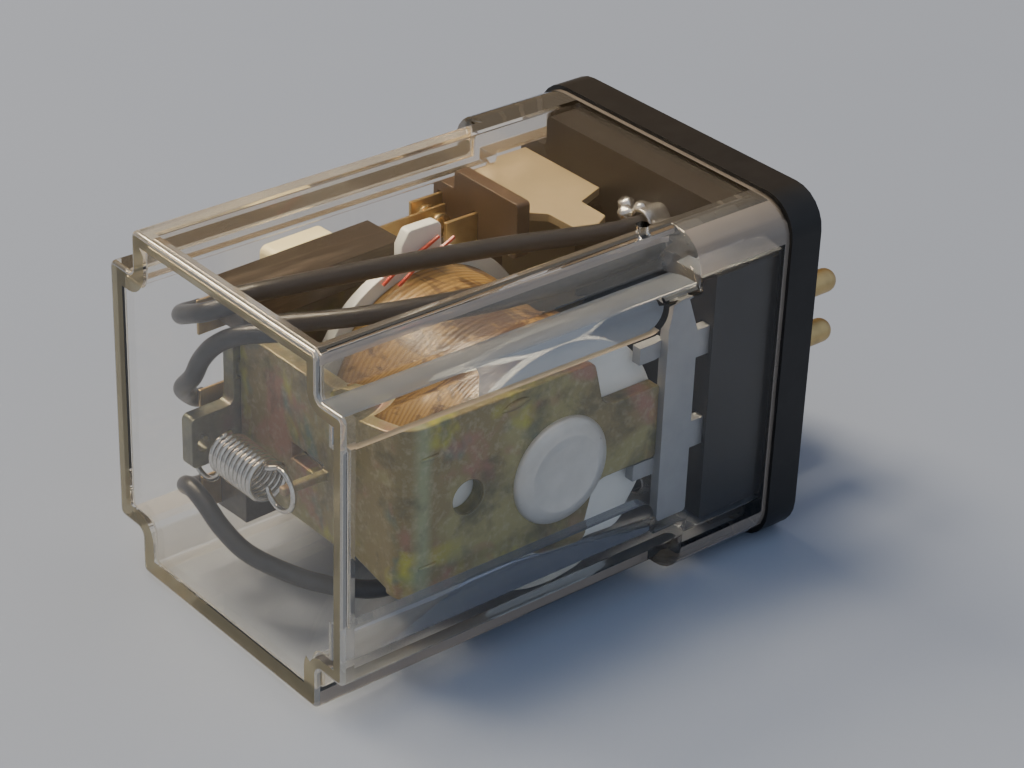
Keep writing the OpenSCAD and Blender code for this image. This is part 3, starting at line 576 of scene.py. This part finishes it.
def tube(bm, route, radius, sides):
    """Round tube along a route, whose radius is a number or a function of how far along it is."""
    route = [Vector(p) for p in route]
    size = radius if callable(radius) else lambda u: radius
    last = len(route) - 1
    side = None
    rings = []
    for i, point in enumerate(route):
        ahead = (route[min(i + 1, last)] - route[max(i - 1, 0)]).normalized()
        if side is None:
            side = ahead.orthogonal()
        side = (side - ahead * side.dot(ahead)).normalized()
        other = ahead.cross(side)
        rings.append([bm.verts.new(point + size(i / last) * (side * math.cos(a) + other * math.sin(a)))
                      for a in angles(sides)])
    for a, b in zip(rings, rings[1:]):
        for k in range(sides):
            j = (k + 1) % sides
            bm.faces.new((a[k], a[j], b[j], b[k]))
    bm.faces.new(list(reversed(rings[0])))
    bm.faces.new(rings[-1])


def new_object(name, data):
    """An object in the scene with the given mesh, camera or light."""
    obj = bpy.data.objects.new(name, data)
    bpy.context.scene.collection.objects.link(obj)
    return obj


def mesh_object(name, bm):
    """An object made from a finished BMesh."""
    mesh = bpy.data.meshes.new(name)
    bm.to_mesh(mesh)
    bm.free()
    return new_object(name, mesh)


def piece(name, bm, slot, body, replaces=(), place=at):
    """Turns a shape in millimetres into a finished piece of the model."""
    bmesh.ops.recalc_face_normals(bm, faces=bm.faces)
    for vert in bm.verts:
        vert.co = place(*vert.co)
    return dress(name, bm, slot, body, replaces)


def dress(name, bm, slot, body, replaces, bevel=0.0):
    """Makes the object, with its material, smooth shading and edge bevel, sets it on its body and hides the
    CAD parts that it replaces.
    """
    obj = mesh_object(name, bm)
    mesh = obj.data
    mesh.materials.clear()   # this also puts every face on the first material
    mesh.materials.append(finish(slot))
    mesh.polygons.foreach_set("use_smooth", [True] * len(mesh.polygons))
    mesh.set_sharp_from_angle(angle=SMOOTH_ANGLE)
    if bevel:
        edge = obj.modifiers.new("edge", "BEVEL")
        edge.width, edge.segments = bevel * MM, 2
        edge.limit_method, edge.angle_limit = "ANGLE", BEVEL_ANGLE
        edge.harden_normals = True
    if body:
        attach(obj, body)
    if replaces:
        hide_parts(*replaces)
    return obj


def copied(node, name, slot, body, bevel=0.0, change=None):
    """A cleaned copy of a CAD node that stands for it, with edges rounded by bevel millimetres."""
    bm = bmesh.new()
    bm.from_mesh(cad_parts[node].data)
    bmesh.ops.remove_doubles(bm, verts=bm.verts, dist=TINY)
    bmesh.ops.dissolve_limit(bm, angle_limit=FLAT_ANGLE, verts=bm.verts, edges=bm.edges)
    if change:
        change(bm)
    return dress(name, bm, slot, body, (node,), bevel)


# ---- Repeated pieces, by Geometry Nodes

class Graph:
    """A Geometry Nodes group whose inputs are named sizes in millimetres."""

    def __init__(self, name, sizes, counts):
        self.tree = bpy.data.node_groups.new(name, "GeometryNodeTree")
        for label, kind in ([(n, "NodeSocketInt") for n in counts] + [(n, "NodeSocketFloat") for n in sizes]
                            + [("Finish", "NodeSocketMaterial")]):
            self.tree.interface.new_socket(name=label, in_out="INPUT", socket_type=kind)
        self.tree.interface.new_socket(name="Geometry", in_out="OUTPUT", socket_type="NodeSocketGeometry")
        self.given = self.tree.nodes.new("NodeGroupInput")

    def size(self, label):
        """One of the group's inputs."""
        return Wire(self.tree, self.given.outputs[label])

    def add(self, kind, settings=None, **sockets):
        return add_node(self.tree, kind, settings, sockets)

    def xyz(self, x, y, z):
        return self.add("ShaderNodeCombineXYZ", X=x, Y=y, Z=z).outputs[0]

    def moved(self, part, **how):
        """A part with a Translation, Rotation or Scale."""
        return self.add("GeometryNodeTransform", Geometry=part.outputs[0], **how)

    def join(self, *parts):
        both = self.add("GeometryNodeJoinGeometry")
        for part in parts:
            self.tree.links.new(part.outputs[0], both.inputs[0])
        return both

    def spread(self, points, tool, turn=(0, 0, 0)):
        """Copies the tool on to the points, turns the set, makes it plain mesh and gives it its material."""
        copies = self.add("GeometryNodeInstanceOnPoints", Points=points, Instance=tool.outputs[0])
        turned = self.moved(copies, Rotation=turn)
        plain = self.add("GeometryNodeRealizeInstances", Geometry=turned.outputs[0])
        dressed = self.add("GeometryNodeSetMaterial", Geometry=plain.outputs[0],
                           Material=self.given.outputs["Finish"])
        self.tree.links.new(dressed.outputs[0], self.tree.nodes.new("NodeGroupOutput").inputs[0])
        return self.tree


def pin_ring():
    """Round pins on a circle in the YZ plane, pointing along +X, with rounded noses."""
    g = Graph("pin_ring", ("Circle", "Diameter", "Length"), ("Count",))
    radius = g.size("Diameter") * 0.5
    straight = g.size("Length") - radius
    shank = g.add("GeometryNodeMeshCylinder", Vertices=36, Radius=radius, Depth=straight)
    shank = g.moved(shank, Translation=g.xyz(0.0, 0.0, straight * 0.5))
    nose = g.add("GeometryNodeMeshUVSphere", Segments=36, Rings=16, Radius=radius)
    nose = g.moved(nose, Translation=g.xyz(0.0, 0.0, straight))
    circle = g.add("GeometryNodeMeshCircle", Vertices=g.size("Count"), Radius=g.size("Circle") * 0.5)
    start = g.moved(circle, Rotation=g.xyz(0.0, 0.0, math.pi + math.pi / g.size("Count")))
    return g.spread(start.outputs[0], g.join(shank, nose), (math.pi / 2, 0, math.pi / 2))


def button_row():
    """A row of domed buttons along Z, whose domes face +Y."""
    g = Graph("button_row", ("Spacing", "Diameter", "Height"), ("Count",))
    radius, height = g.size("Diameter") * 0.5, g.size("Height")
    foot = g.add("GeometryNodeMeshCylinder", Vertices=32, Radius=radius, Depth=height * 0.6)
    foot = g.moved(foot, Rotation=(-math.pi / 2, 0, 0), Translation=g.xyz(0.0, height * 0.3, 0.0))
    dome = g.add("GeometryNodeMeshUVSphere", Segments=32, Rings=20, Radius=1.0)
    dome = g.moved(dome, Scale=g.xyz(radius, height * 0.4, radius),
                   Translation=g.xyz(0.0, height * 0.6, 0.0))
    line = g.add("GeometryNodeMeshLine", {"mode": "OFFSET"}, Count=g.size("Count"),
                 Offset=g.xyz(0.0, 0.0, g.size("Spacing")))
    return g.spread(line.outputs[0], g.join(foot, dome))


def repeated(name, group, values, slot, body, replaces, place):
    """Runs a Geometry Nodes group once and keeps its result as a plain finished piece."""
    seed = new_object(name + "_seed", bpy.data.meshes.new(name + "_seed"))
    modifier = seed.modifiers.new("repeat", "NODES")
    modifier.node_group = group
    values = dict(values, Finish=finish(slot))
    for item in group.interface.items_tree:
        if item.in_out == "INPUT":
            modifier[item.identifier] = values[item.name]
    mesh = bpy.data.meshes.new_from_object(seed.evaluated_get(bpy.context.evaluated_depsgraph_get()))
    bm = bmesh.new()
    bm.from_mesh(mesh)
    bpy.data.objects.remove(seed)
    return piece(name, bm, slot, body, replaces, place)


# ---- Sizes that a user would change

class RelaySettings(bpy.types.PropertyGroup):
    """Sizes and colours of the relay's looks."""
    edge: FloatProperty(name="Edge radius", description="Radius of small moulded edges, in millimetres",
                        default=0.25, min=0.05, max=0.6)
    spring_turns: IntProperty(name="Spring turns", description="Turns of the return spring", default=10,
                              min=5, max=14)
    spring_wire: FloatProperty(name="Spring wire", description="Thickness of its wire, in millimetres",
                               default=0.52, min=0.3, max=0.7)
    lead_size: FloatProperty(name="Lead size", description="Thickness of a sleeved lead, in millimetres",
                             default=1.7, min=1.0, max=2.0)
    pin_count: IntProperty(name="Pins", description="Pins in the plug", default=11, min=8, max=11)
    warm: FloatVectorProperty(name="Key light", description="Colour of the main light", subtype="COLOR",
                              default=(1.0, 0.83, 0.58), min=0, max=1)
    wall: FloatVectorProperty(name="Back wall", description="Colour of the wall that the cover's top mirrors",
                              subtype="COLOR", default=(0.34, 0.23, 0.13), min=0, max=1)
    cool: FloatVectorProperty(name="Room light", description="Colour of the soft light all round",
                              subtype="COLOR", default=(0.73, 0.83, 1.0), min=0, max=1)


# Routes of the leads, the same as those of the CAD leads, from the blades round to the base
LEAD_ROUTES = (
    ((6.6, 11.85, 8.4), (5.8, 11.85, 8.4), (4.6, 11.4, 8.9), (3.5, 10.2, 10.1), (3, 8.4, 10.8),
     (3, 6.4, 10.1), (3.3, 4.4, 8.6), (4, 1.8, 7.2), (5.6, -1, 6.2), (8.2, -3.4, 5), (12, -4.8, 3.6),
     (17, -5, 3.1), (24, -5, 3), (32, -5, 3), (38, -5, 3.3), (42, -5, 3.6), (44.9, -5, 3.6)),
    ((6.6, 11.85, 17.35), (5.8, 11.85, 17.5), (4.6, 11.4, 18.6), (3.2, 9.8, 20.4), (2.8, 7.6, 22.6),
     (2.9, 6.4, 24.8), (3.3, 4.8, 26.8), (4.2, 2.6, 28.4), (6.2, -0.4, 29.4), (10, -3.8, 30.2),
     (16, -6.6, 30.6), (24, -8.2, 30.4), (32, -8.6, 30.2), (38, -8, 29.8), (42, -7.6, 29.6),
     (44.9, -7.6, 29.6)),
    ((6.6, 11.85, 26.3), (5.8, 11.85, 26.3), (4.6, 11.5, 26.6), (3.5, 10.2, 27.3), (3, 8.2, 28.4),
     (3.2, 5.8, 29.6), (4.8, 4, 30.6), (8, 2.6, 31), (14, 1.2, 31), (21, -0.2, 30.8), (28, -1.8, 30.6),
     (34, -3.4, 30.3), (39, -4.4, 29.9), (42, -4.4, 29.6), (44.9, -4.4, 29.6)),
)


class RelayOperator:
    """What all the relay's operators share."""
    bl_options = {"REGISTER", "UNDO"}

    def execute(self, context):
        self.build(context.scene.relay_looks)
        return {"FINISHED"}


class RELAY_OT_stage(RelayOperator, bpy.types.Operator):
    """Adds the tabletop, the camera and the light"""
    bl_idname = "relay.stage"
    bl_label = "Stage"

    def build(self, looks):
        bm = bmesh.new()
        bmesh.ops.create_grid(bm, x_segments=2, y_segments=2, size=1.5)
        top = mesh_object("tabletop", bm)
        top.data.materials.append(tabletop())
        self.camera()
        self.lights(looks)

    def camera(self):
        """The camera that was fitted to the cover's corners in the photograph."""
        turn, tilt, roll = (math.radians(angle) for angle in CAMERA_ANGLES)
        ahead = Vector((math.sin(turn) * math.cos(tilt), math.cos(turn) * math.cos(tilt), -math.sin(tilt)))
        level = Vector((math.cos(turn), -math.sin(turn), 0))
        up = level.cross(ahead)
        right = math.cos(roll) * level + math.sin(roll) * up
        above = -math.sin(roll) * level + math.cos(roll) * up
        camera = bpy.data.cameras.new("camera")
        obj = new_object("camera", camera)
        matrix = Matrix((right, above, -ahead)).transposed().to_4x4()
        matrix.translation = at(*CAMERA_PLACE)
        obj.matrix_world = matrix
        camera.sensor_width, camera.lens, camera.clip_start = SENSOR, FOCAL_PIXELS / PHOTO_WIDTH * SENSOR, MM
        bpy.context.scene.camera = obj

    def lights(self, looks):
        """A warm light above and behind, in a cool room with a dim brown wall at the back."""
        world = bpy.data.worlds.new("room")
        bpy.context.scene.world = world
        world.use_nodes = True
        tree = world.node_tree
        back = tree.nodes["Background"]
        back.inputs["Strength"].default_value = ROOM_LIGHT
        direction = tree.nodes.new("ShaderNodeTexCoord")
        split = tree.nodes.new("ShaderNodeSeparateXYZ")
        tree.links.new(direction.outputs["Generated"], split.inputs[0])
        side, depth, rise = (Wire(tree, split.outputs[name]) for name in "XYZ")
        # The room is darker away from the viewer, and the wall stands at the back and to the right
        sky = tree.nodes.new("ShaderNodeValToRGB")
        sky.color_ramp.elements[0].color = (*(c * ROOM_SHADE for c in looks.cool), 1)
        sky.color_ramp.elements[1].color = (*looks.cool, 1)
        tree.links.new((rise * 0.5 - depth * 0.9 + side * 0.15 + 0.2).socket, sky.inputs[0])
        wall = tree.nodes.new("ShaderNodeMix")
        wall.data_type = "RGBA"
        wall.clamp_factor = True
        tree.links.new((depth * 2.2 + side * 1.1 - rise * 0.6 - 0.6).socket, wall.inputs[0])
        tree.links.new(sky.outputs["Color"], wall.inputs[6])
        wall.inputs[7].default_value = (*looks.wall, 1)
        tree.links.new(wall.outputs[2], back.inputs["Color"])
        for name, size, energy, place in LAMPS:
            light = bpy.data.lights.new(name, "AREA")
            light.size, light.energy, light.color = size, energy, looks.warm
            obj = new_object(name, light)
            obj.location = place
            obj.rotation_euler = (-obj.location).to_track_quat("-Z", "Y").to_euler()


class RELAY_OT_cover(RelayOperator, bpy.types.Operator):
    """Adds the clear cover with its rails, stepped corners and vent hole"""
    bl_idname = "relay.cover"
    bl_label = "Cover"

    def build(self, looks):
        cover = copied("cover", "clear_cover", "clear_plastic", COVER, change=self.mark_walls)
        for finish_of in (clear_edge, clear_rim, wall_ends, clear_step, wall_sides, clear_ledge, golden_edge,
                          clear_rail, clear_corner):
            cover.data.materials.append(finish_of())
        marks = cover.data.attributes["wall_part"].data
        for face in cover.data.polygons:
            face.material_index = marks[face.index].value
        even = cover.modifiers.new("even_shading", "WEIGHTED_NORMAL")
        even.weight, even.keep_sharp = 90, True

    def mark_walls(self, bm):
        """Rounds the closed end's edges and marks what each face of the walls shows."""
        part = bm.faces.layers.int.new("wall_part")
        self.round_edges(bm, part)
        self.inset_closed_end(bm, part)
        for place, normal in (((0, 0, LOW_WALL_TOP), (0, 0, 1)), ((0, 0, HIGH_WALL_FOOT), (0, 0, 1)),
                              ((WALL, 0, 0), (1, 0, 0)), ((RAIL_SHEEN_START, 0, 0), (1, 0, 0)),
                              ((COVER_LENGTH - RIM_DEPTH, 0, 0), (1, 0, 0)),
                              ((0, NEAR_WALL_END, 0), (0, 1, 0)), ((0, FAR_WALL_END, 0), (0, 1, 0))):
            bmesh.ops.bisect_plane(bm, geom=[*bm.verts, *bm.edges, *bm.faces], dist=TINY,
                                   plane_co=at(*place), plane_no=normal)
        # Bevels and insets list what they make in another order each run
        put_in_order(bm.verts, lambda v: [round(c / TINY) for c in v.co])
        put_in_order(bm.edges, lambda e: sorted(v.index for v in e.verts))
        put_in_order(bm.faces, lambda f: sorted(v.index for v in f.verts))
        bm.normal_update()
        for face in bm.faces:
            face[part] = self.part_of(face, face[part])

    def round_edges(self, bm, part):
        """Rounds the outer and the inner rim of the closed end."""
        for place, radius in ((0, EDGE), (WALL, INNER_EDGE)):
            rim = [e for e in bm.edges if len(e.link_faces) == 2 and e.calc_face_angle() > SMOOTH_ANGLE
                   and all(abs(v.co.x - at(place, 0, 0).x) < 10 * TINY for v in e.verts)]
            for face in bmesh.ops.bevel(bm, geom=rim, offset=radius * MM, offset_type="OFFSET", segments=4,
                                        profile=0.5, affect="EDGES", clamp_overlap=True)["faces"]:
                # the rounded faces get a milky olive tint, which is painted light
                face[part] = PAINTED_EDGE_LIGHT
        bm.normal_update()

    def inset_closed_end(self, bm, part):
        """Sets off the border of the closed end, where the walls stand behind it, for the wall ends' painted
        light.
        """
        for thickness in (FIRST_STRIP, WALL - EDGE - FIRST_STRIP, SEEN_BESIDE):
            closed = [f for f in bm.faces if f.normal.x < -FACING and f[part] == PLAIN
                      and f.calc_center_median().x < at(MARGIN, 0, 0).x]
            border = bmesh.ops.inset_region(bm, faces=closed, thickness=thickness * MM,
                                            use_even_offset=True)["faces"]
            for face in border:
                middle = face.calc_center_median() / MM
                # Beside the wall's edge the painted band goes only low down and at the far side
                shows = thickness != SEEN_BESIDE or middle.y > 5 or middle.z < 5
                face[part] = WALL_END if shows else PLAIN
            # Not a set, so that the merge comes out the same each run
            inner = list(dict.fromkeys(v for f in closed for v in f.verts))
            bmesh.ops.remove_doubles(bm, verts=inner, dist=CROWDED * MM)

    def part_of(self, face, marked):
        """What a face shows, unless it was marked before."""
        normal = face.normal
        x, y, z = face.calc_center_median() / MM
        x, height = x - CLOSED_END, z - MIDDLE_HEIGHT
        flat, outward = abs(normal.z) > FACING, normal.y * y + normal.z * height > 0
        on_step = self.on_step(normal, x, abs(y), abs(height))
        if normal.x > FACING and x > COVER_LENGTH - MARGIN:
            return OPEN_RIM
        if marked:
            return marked
        if abs(normal.y) > FACING and y < MARGIN - STEP_SIDE and not LOW_WALL_TOP < z < HIGH_WALL_FOOT:
            return WALL_SIDE
        near_corner = (x > FLARE_START + MARGIN and abs(height) > STEP_HEIGHT + MARGIN
                       and y < NEAR_WALL_END and normal.y < -0.15)
        if outward and (x > COVER_LENGTH - RIM_DEPTH or near_corner):
            return OPEN_CORNER
        if normal.z < -FACING and RAIL_BACK < y < RAIL_FRONT and abs(z - RAIL_FOOT) < MARGIN:
            return GOLDEN_FOOT
        if (normal.y > FACING and x > RAIL_SHEEN_START and RAIL_FACE < y < RAIL_FRONT and z > RAIL_FOOT
                and height < STEP_HEIGHT):
            return RAIL
        if flat and on_step and y < 0:
            return NEAR_LEDGE
        closed_rim = x < WALL and abs(normal.x) < 0.5
        beside_riser = (flat and not COVER_LOW + MARGIN < z < COVER_HIGH - MARGIN
                        and not NEAR_WALL_END < y < FAR_WALL_END)
        return STEP if on_step or closed_rim or beside_riser else PLAIN

    def on_step(self, normal, x, side, height):
        """Whether a face belongs to the step along the long corners or to its run-out."""
        ledge = (abs(normal.z) > FACING and side > STEP_SIDE - MARGIN
                 and STEP_HEIGHT - 2 * WALL < height < STEP_HEIGHT + MARGIN)
        riser = (abs(normal.y) > FACING and height > STEP_HEIGHT - MARGIN
                 and STEP_SIDE - 2 * WALL < side < STEP_SIDE + MARGIN)
        run_out = normal.x < -0.2 and x > FLARE_START - RUN_OUT and side > STEP_SIDE - MARGIN
        return ledge or riser or run_out


class RELAY_OT_base(RelayOperator, bpy.types.Operator):
    """Adds the black base with its lip, pedestal and keyed post"""
    bl_idname = "relay.base"
    bl_label = "Base"

    def build(self, looks):
        copied("base", "plug_base", "black_plastic", BASE, looks.edge)


class RELAY_OT_frame_metal(RelayOperator, bpy.types.Operator):
    """Adds the yoke, the bracket strip, the armature and their plating"""
    bl_idname = "relay.frame_metal"
    bl_label = "Magnet frame"

    def build(self, looks):
        copied("yoke", "bent_yoke", "yoke_plating", BASE, 0.18)
        self.press_marks()
        copied("bracket_strip", "bracket_plate", "plated_strip", BASE, 0.12)
        copied("armature", "hinged_armature", "armature_plating", ARMATURE, 0.15)

    def press_marks(self):
        """Ridges of the bending tool beside the bend, a bulge by the upper edge and a burr round the hole."""
        bm = bmesh.new()
        for x, z in ((10.6, 22.3), (10.5, 11.6)):
            tube(bm, [(x - 0.9, -14.12, z - 0.05), (x - 0.4, -14.22, z), (x + 0.4, -14.22, z),
                      (x + 0.9, -14.12, z + 0.05)], 0.18, 8)
        bulge = spline([(18.0, -14.05, 23.9), (19.2, -14.1, 24.15), (20.4, -14.1, 24.3),
                        (21.6, -14.05, 24.3)], 6)
        tube(bm, bulge, lambda u: 0.06 + 0.42 * math.sin(math.pi * u), 12)
        hole, hole_radius = (14.8, -14.1, 16.9), 1.75
        self.burr(bm, *hole, hole_radius, 0.14)
        piece("press_marks", bm, "yoke_plating", BASE)

    def burr(self, bm, x, y, z, radius, wall, steps=48, sides=8):
        """A closed round ridge about a line along Y."""
        rings = [[bm.verts.new((x + (radius + wall * math.cos(b)) * math.cos(a), y + wall * math.sin(b),
                                z + (radius + wall * math.cos(b)) * math.sin(a)))
                  for b in angles(sides)] for a in angles(steps)]
        for k in range(steps):
            for j in range(sides):
                bm.faces.new((rings[k - 1][j - 1], rings[k][j - 1], rings[k][j], rings[k - 1][j]))


class RELAY_OT_coil(RelayOperator, bpy.types.Operator):
    """Adds the core, the bobbin, the winding, its tape and the fine coil wires"""
    bl_idname = "relay.coil"
    bl_label = "Magnet coil"

    def build(self, looks):
        copied("bobbin", "coil_bobbin", "white_plastic", BASE, 0.12)
        self.core()
        copied("coil_winding", "wound_wire", "copper_wire", BASE)
        copied("coil_tape", "wrapped_tape", "tape", BASE, 0.08)
        copied("coil_wires", "fine_wires", "red_wire", BASE)

    def core(self):
        """The turned core, from the spun end in the side plate to the pole face."""
        bm = bmesh.new()
        spun_end = [(-14.96, 0), (-14.97, 2.4), (-15.02, 3.2), (-15.1, 3.55), (-15.1, 3.8), (-14.9, 4.4),
                    (-14.66, 4.95), (-14.4, 5.17), (-14.2, 5.2)]
        shank = [(-14.2, 3.5), (-12.7, 3.5), (-12.7, 3.7), (5.8, 3.7)]
        pole_face = [(5.8, 5.5), (5.9, 5.6), (8.0, 5.6), (8.1, 5.5), (8.1, 0)]
        lathe(bm, spun_end + shank + pole_face, *CORE, 72)
        piece("turned_core", bm, "core_steel", BASE, ("core",))


class RELAY_OT_contacts(RelayOperator, bpy.types.Operator):
    """Adds the contact block, its barrier, the blades and the buttons"""
    bl_idname = "relay.contacts"
    bl_label = "Contacts"

    def build(self, looks):
        copied("contact_block", "moulded_block", "tan_plastic", BASE, 0.2)
        copied("contact_barrier", "barrier_plate", "brown_plastic", BASE, 0.12)
        for k in (1, 2, 3):
            for kind in ("closed_contact", "open_contact"):
                copied(f"{kind}_{k}", f"{kind}_plate_{k}", "contact_brass", BASE, 0.08)
            copied(f"moving_blade_{k}", f"blade_strip_{k}", "contact_brass", ARMATURE, 0.06)
        row = button_row()
        low = POLE_Z - POLE_PITCH
        # Each row's foot, the way that its domes point, and their height
        for name, y, way, height, move in (
                ("resting_button_row", 13.586, -1, 0.7, at), ("working_button_row", 8.75, 1, 0.7, at),
                ("outer_button_row", 10.75, 1, 0.9, swung), ("inner_button_row", 10.45, -1, 0.9, swung)):
            body, node = (BASE, "fixed_buttons") if move is at else (ARMATURE, "moving_buttons")
            sizes = {"Count": 3, "Spacing": POLE_PITCH, "Diameter": BUTTON_SIZE, "Height": height}
            repeated(name, row, sizes, "contact_metal", body, (node,),
                     lambda u, v, w, y=y, way=way, move=move: move(CONTACT_X + u, y + way * v, low + w))
        copied("blade_carrier", "carrier_bars", "carrier_plastic", ARMATURE, 0.2)
        copied("blade_clamp", "clamp_plate", "cream_plastic", ARMATURE, 0.25)
        # The two rivets stand between the poles
        sizes = {"Count": 2, "Spacing": POLE_PITCH, "Diameter": RIVET_SIZE, "Height": 0.5}
        repeated("clamp_rivet_row", row, sizes, "rivet_brass", ARMATURE, ("clamp_rivets",),
                 lambda u, v, w: swung(17.4 + u, 13.6 + v, POLE_Z - POLE_PITCH / 2 + w))


class RELAY_OT_plug(RelayOperator, bpy.types.Operator):
    """Adds the ring of plug pins"""
    bl_idname = "relay.plug"
    bl_label = "Plug pins"

    def build(self, looks):
        sizes = {"Count": looks.pin_count, "Circle": PIN_CIRCLE, "Diameter": PIN_SIZE, "Length": PIN_LENGTH}
        repeated("plug_pin_ring", pin_ring(), sizes, "pin_brass", BASE, ("plug_pins",),
                 lambda x, y, z: at(COVER_LENGTH + LIP + x, y, MIDDLE_HEIGHT + z))


class RELAY_OT_spring(RelayOperator, bpy.types.Operator):
    """Adds the return spring with its two hooks"""
    bl_idname = "relay.spring"
    bl_label = "Return spring"

    def build(self, looks):
        wire = looks.spring_wire
        radius = (4.1 - wire) / 2                  # the coil is 4.1 mm thick over its wire
        x, height = 4.1, 16.1                      # the coil's axis lies along Y
        near, hook = (-3.3, 16.2), 2.0             # y and z of the hook in the yoke's tab, and its radius
        ring, ring_radius = (7.75, 14.0), 2.05     # the same for the ring in the armature's tail
        turns, steps = looks.spring_turns, 20
        start, end = -1.7, 4.4                     # the coil's ends along Y
        # The hook, the coil and the ring, each with a short step to the next
        route = [(x, near[0] - hook * math.sin(a), near[1] + hook * math.cos(a))
                 for a in (math.radians(250 - 262 * k / 24) for k in range(25))]
        route += [(x - 0.5, start - 0.55, height + 1.85)]
        route += [(x + radius * math.sin(a), start + (end - start) * k / (turns * steps),
                   height + radius * math.cos(a))
                  for k, a in ((k, 2 * math.pi * k / steps) for k in range(turns * steps + 1))]
        route += [(x + 0.7, end + 0.6, height + 1.3), (x + 0.1, ring[0] - ring_radius - 0.1, ring[1] + 0.9)]
        route += [(x - 0.01 * k, ring[0] - ring_radius * math.cos(a), ring[1] - ring_radius * math.sin(a))
                  for k, a in ((k, math.radians(12 * k)) for k in range(24))]
        bm = bmesh.new()
        tube(bm, spline(route, 2), wire / 2, 12)
        coil = piece("coiled_spring", bm, "spring_steel", None, ("return_spring",))
        tuple(at(x, start, height))
        tuple(at(x, end, height))
        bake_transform(coil)


class RELAY_OT_leads(RelayOperator, bpy.types.Operator):
    """Adds the three sleeved leads and their ferrules"""
    bl_idname = "relay.leads"
    bl_label = "Leads"

    def build(self, looks):
        for k, route in enumerate(LEAD_ROUTES, 1):
            bm = bmesh.new()
            tube(bm, spline(route, 6), looks.lead_size / 2, 20)
            lead = piece(f"sleeved_lead_{k}", bm, "lead_sleeve", None, (f"lead_{k}",))
            tuple(at(4, 4.5, 17))
            tuple(at(6, 11, 17))
            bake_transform(lead)
        copied("lead_ferrules", "lead_ends", "ferrule_metal", BASE, 0.15)
        bm = bmesh.new()
        # Where a lump of solder sits and its radius
        for place, size in (((44.1, -2.9, 29.9), 0.95), ((43.2, -1.7, 29.4), 0.8), ((44.3, -0.6, 29.3), 0.9),
                            ((43.1, -3.6, 30.6), 0.6)):
            lump = bmesh.ops.create_icosphere(bm, subdivisions=3, radius=size)["verts"]
            for vert in lump:   # not quite round
                vert.co *= 1 + 0.25 * noise.noise(vert.co * 1.6 + Vector(place))
                vert.co += Vector(place)
        piece("solder_lumps", bm, "ferrule_metal", BASE)


class RELAY_PT_panel(bpy.types.Panel):
    """The relay's panel in the sidebar"""
    bl_label = "Relay"
    bl_space_type = "VIEW_3D"
    bl_region_type = "UI"
    bl_category = "Relay"

    def draw(self, context):
        looks = context.scene.relay_looks
        for name in ("edge", "spring_turns", "spring_wire", "lead_size", "pin_count", "warm", "wall", "cool"):
            self.layout.prop(looks, name)
        for step in STEPS:
            self.layout.operator(step.bl_idname)


# In the order that the relay is built
STEPS = (RELAY_OT_stage, RELAY_OT_cover, RELAY_OT_base, RELAY_OT_frame_metal, RELAY_OT_coil,
         RELAY_OT_contacts, RELAY_OT_plug, RELAY_OT_spring, RELAY_OT_leads)
CLASSES = (RelaySettings, *STEPS, RELAY_PT_panel)


def register():
    """Registers the add-on's classes and its settings."""
    for cls in CLASSES:
        bpy.utils.register_class(cls)
    bpy.types.Scene.relay_looks = PointerProperty(type=RelaySettings)


def unregister():
    """Takes the settings and the classes out again."""
    del bpy.types.Scene.relay_looks
    for cls in reversed(CLASSES):
        bpy.utils.unregister_class(cls)


def main():
    """Builds everything in order."""
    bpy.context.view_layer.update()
    register()
    for step in STEPS:
        area, call = step.bl_idname.split(".")
        getattr(getattr(bpy.ops, area), call)()


if __name__ == "__main__":
    main()
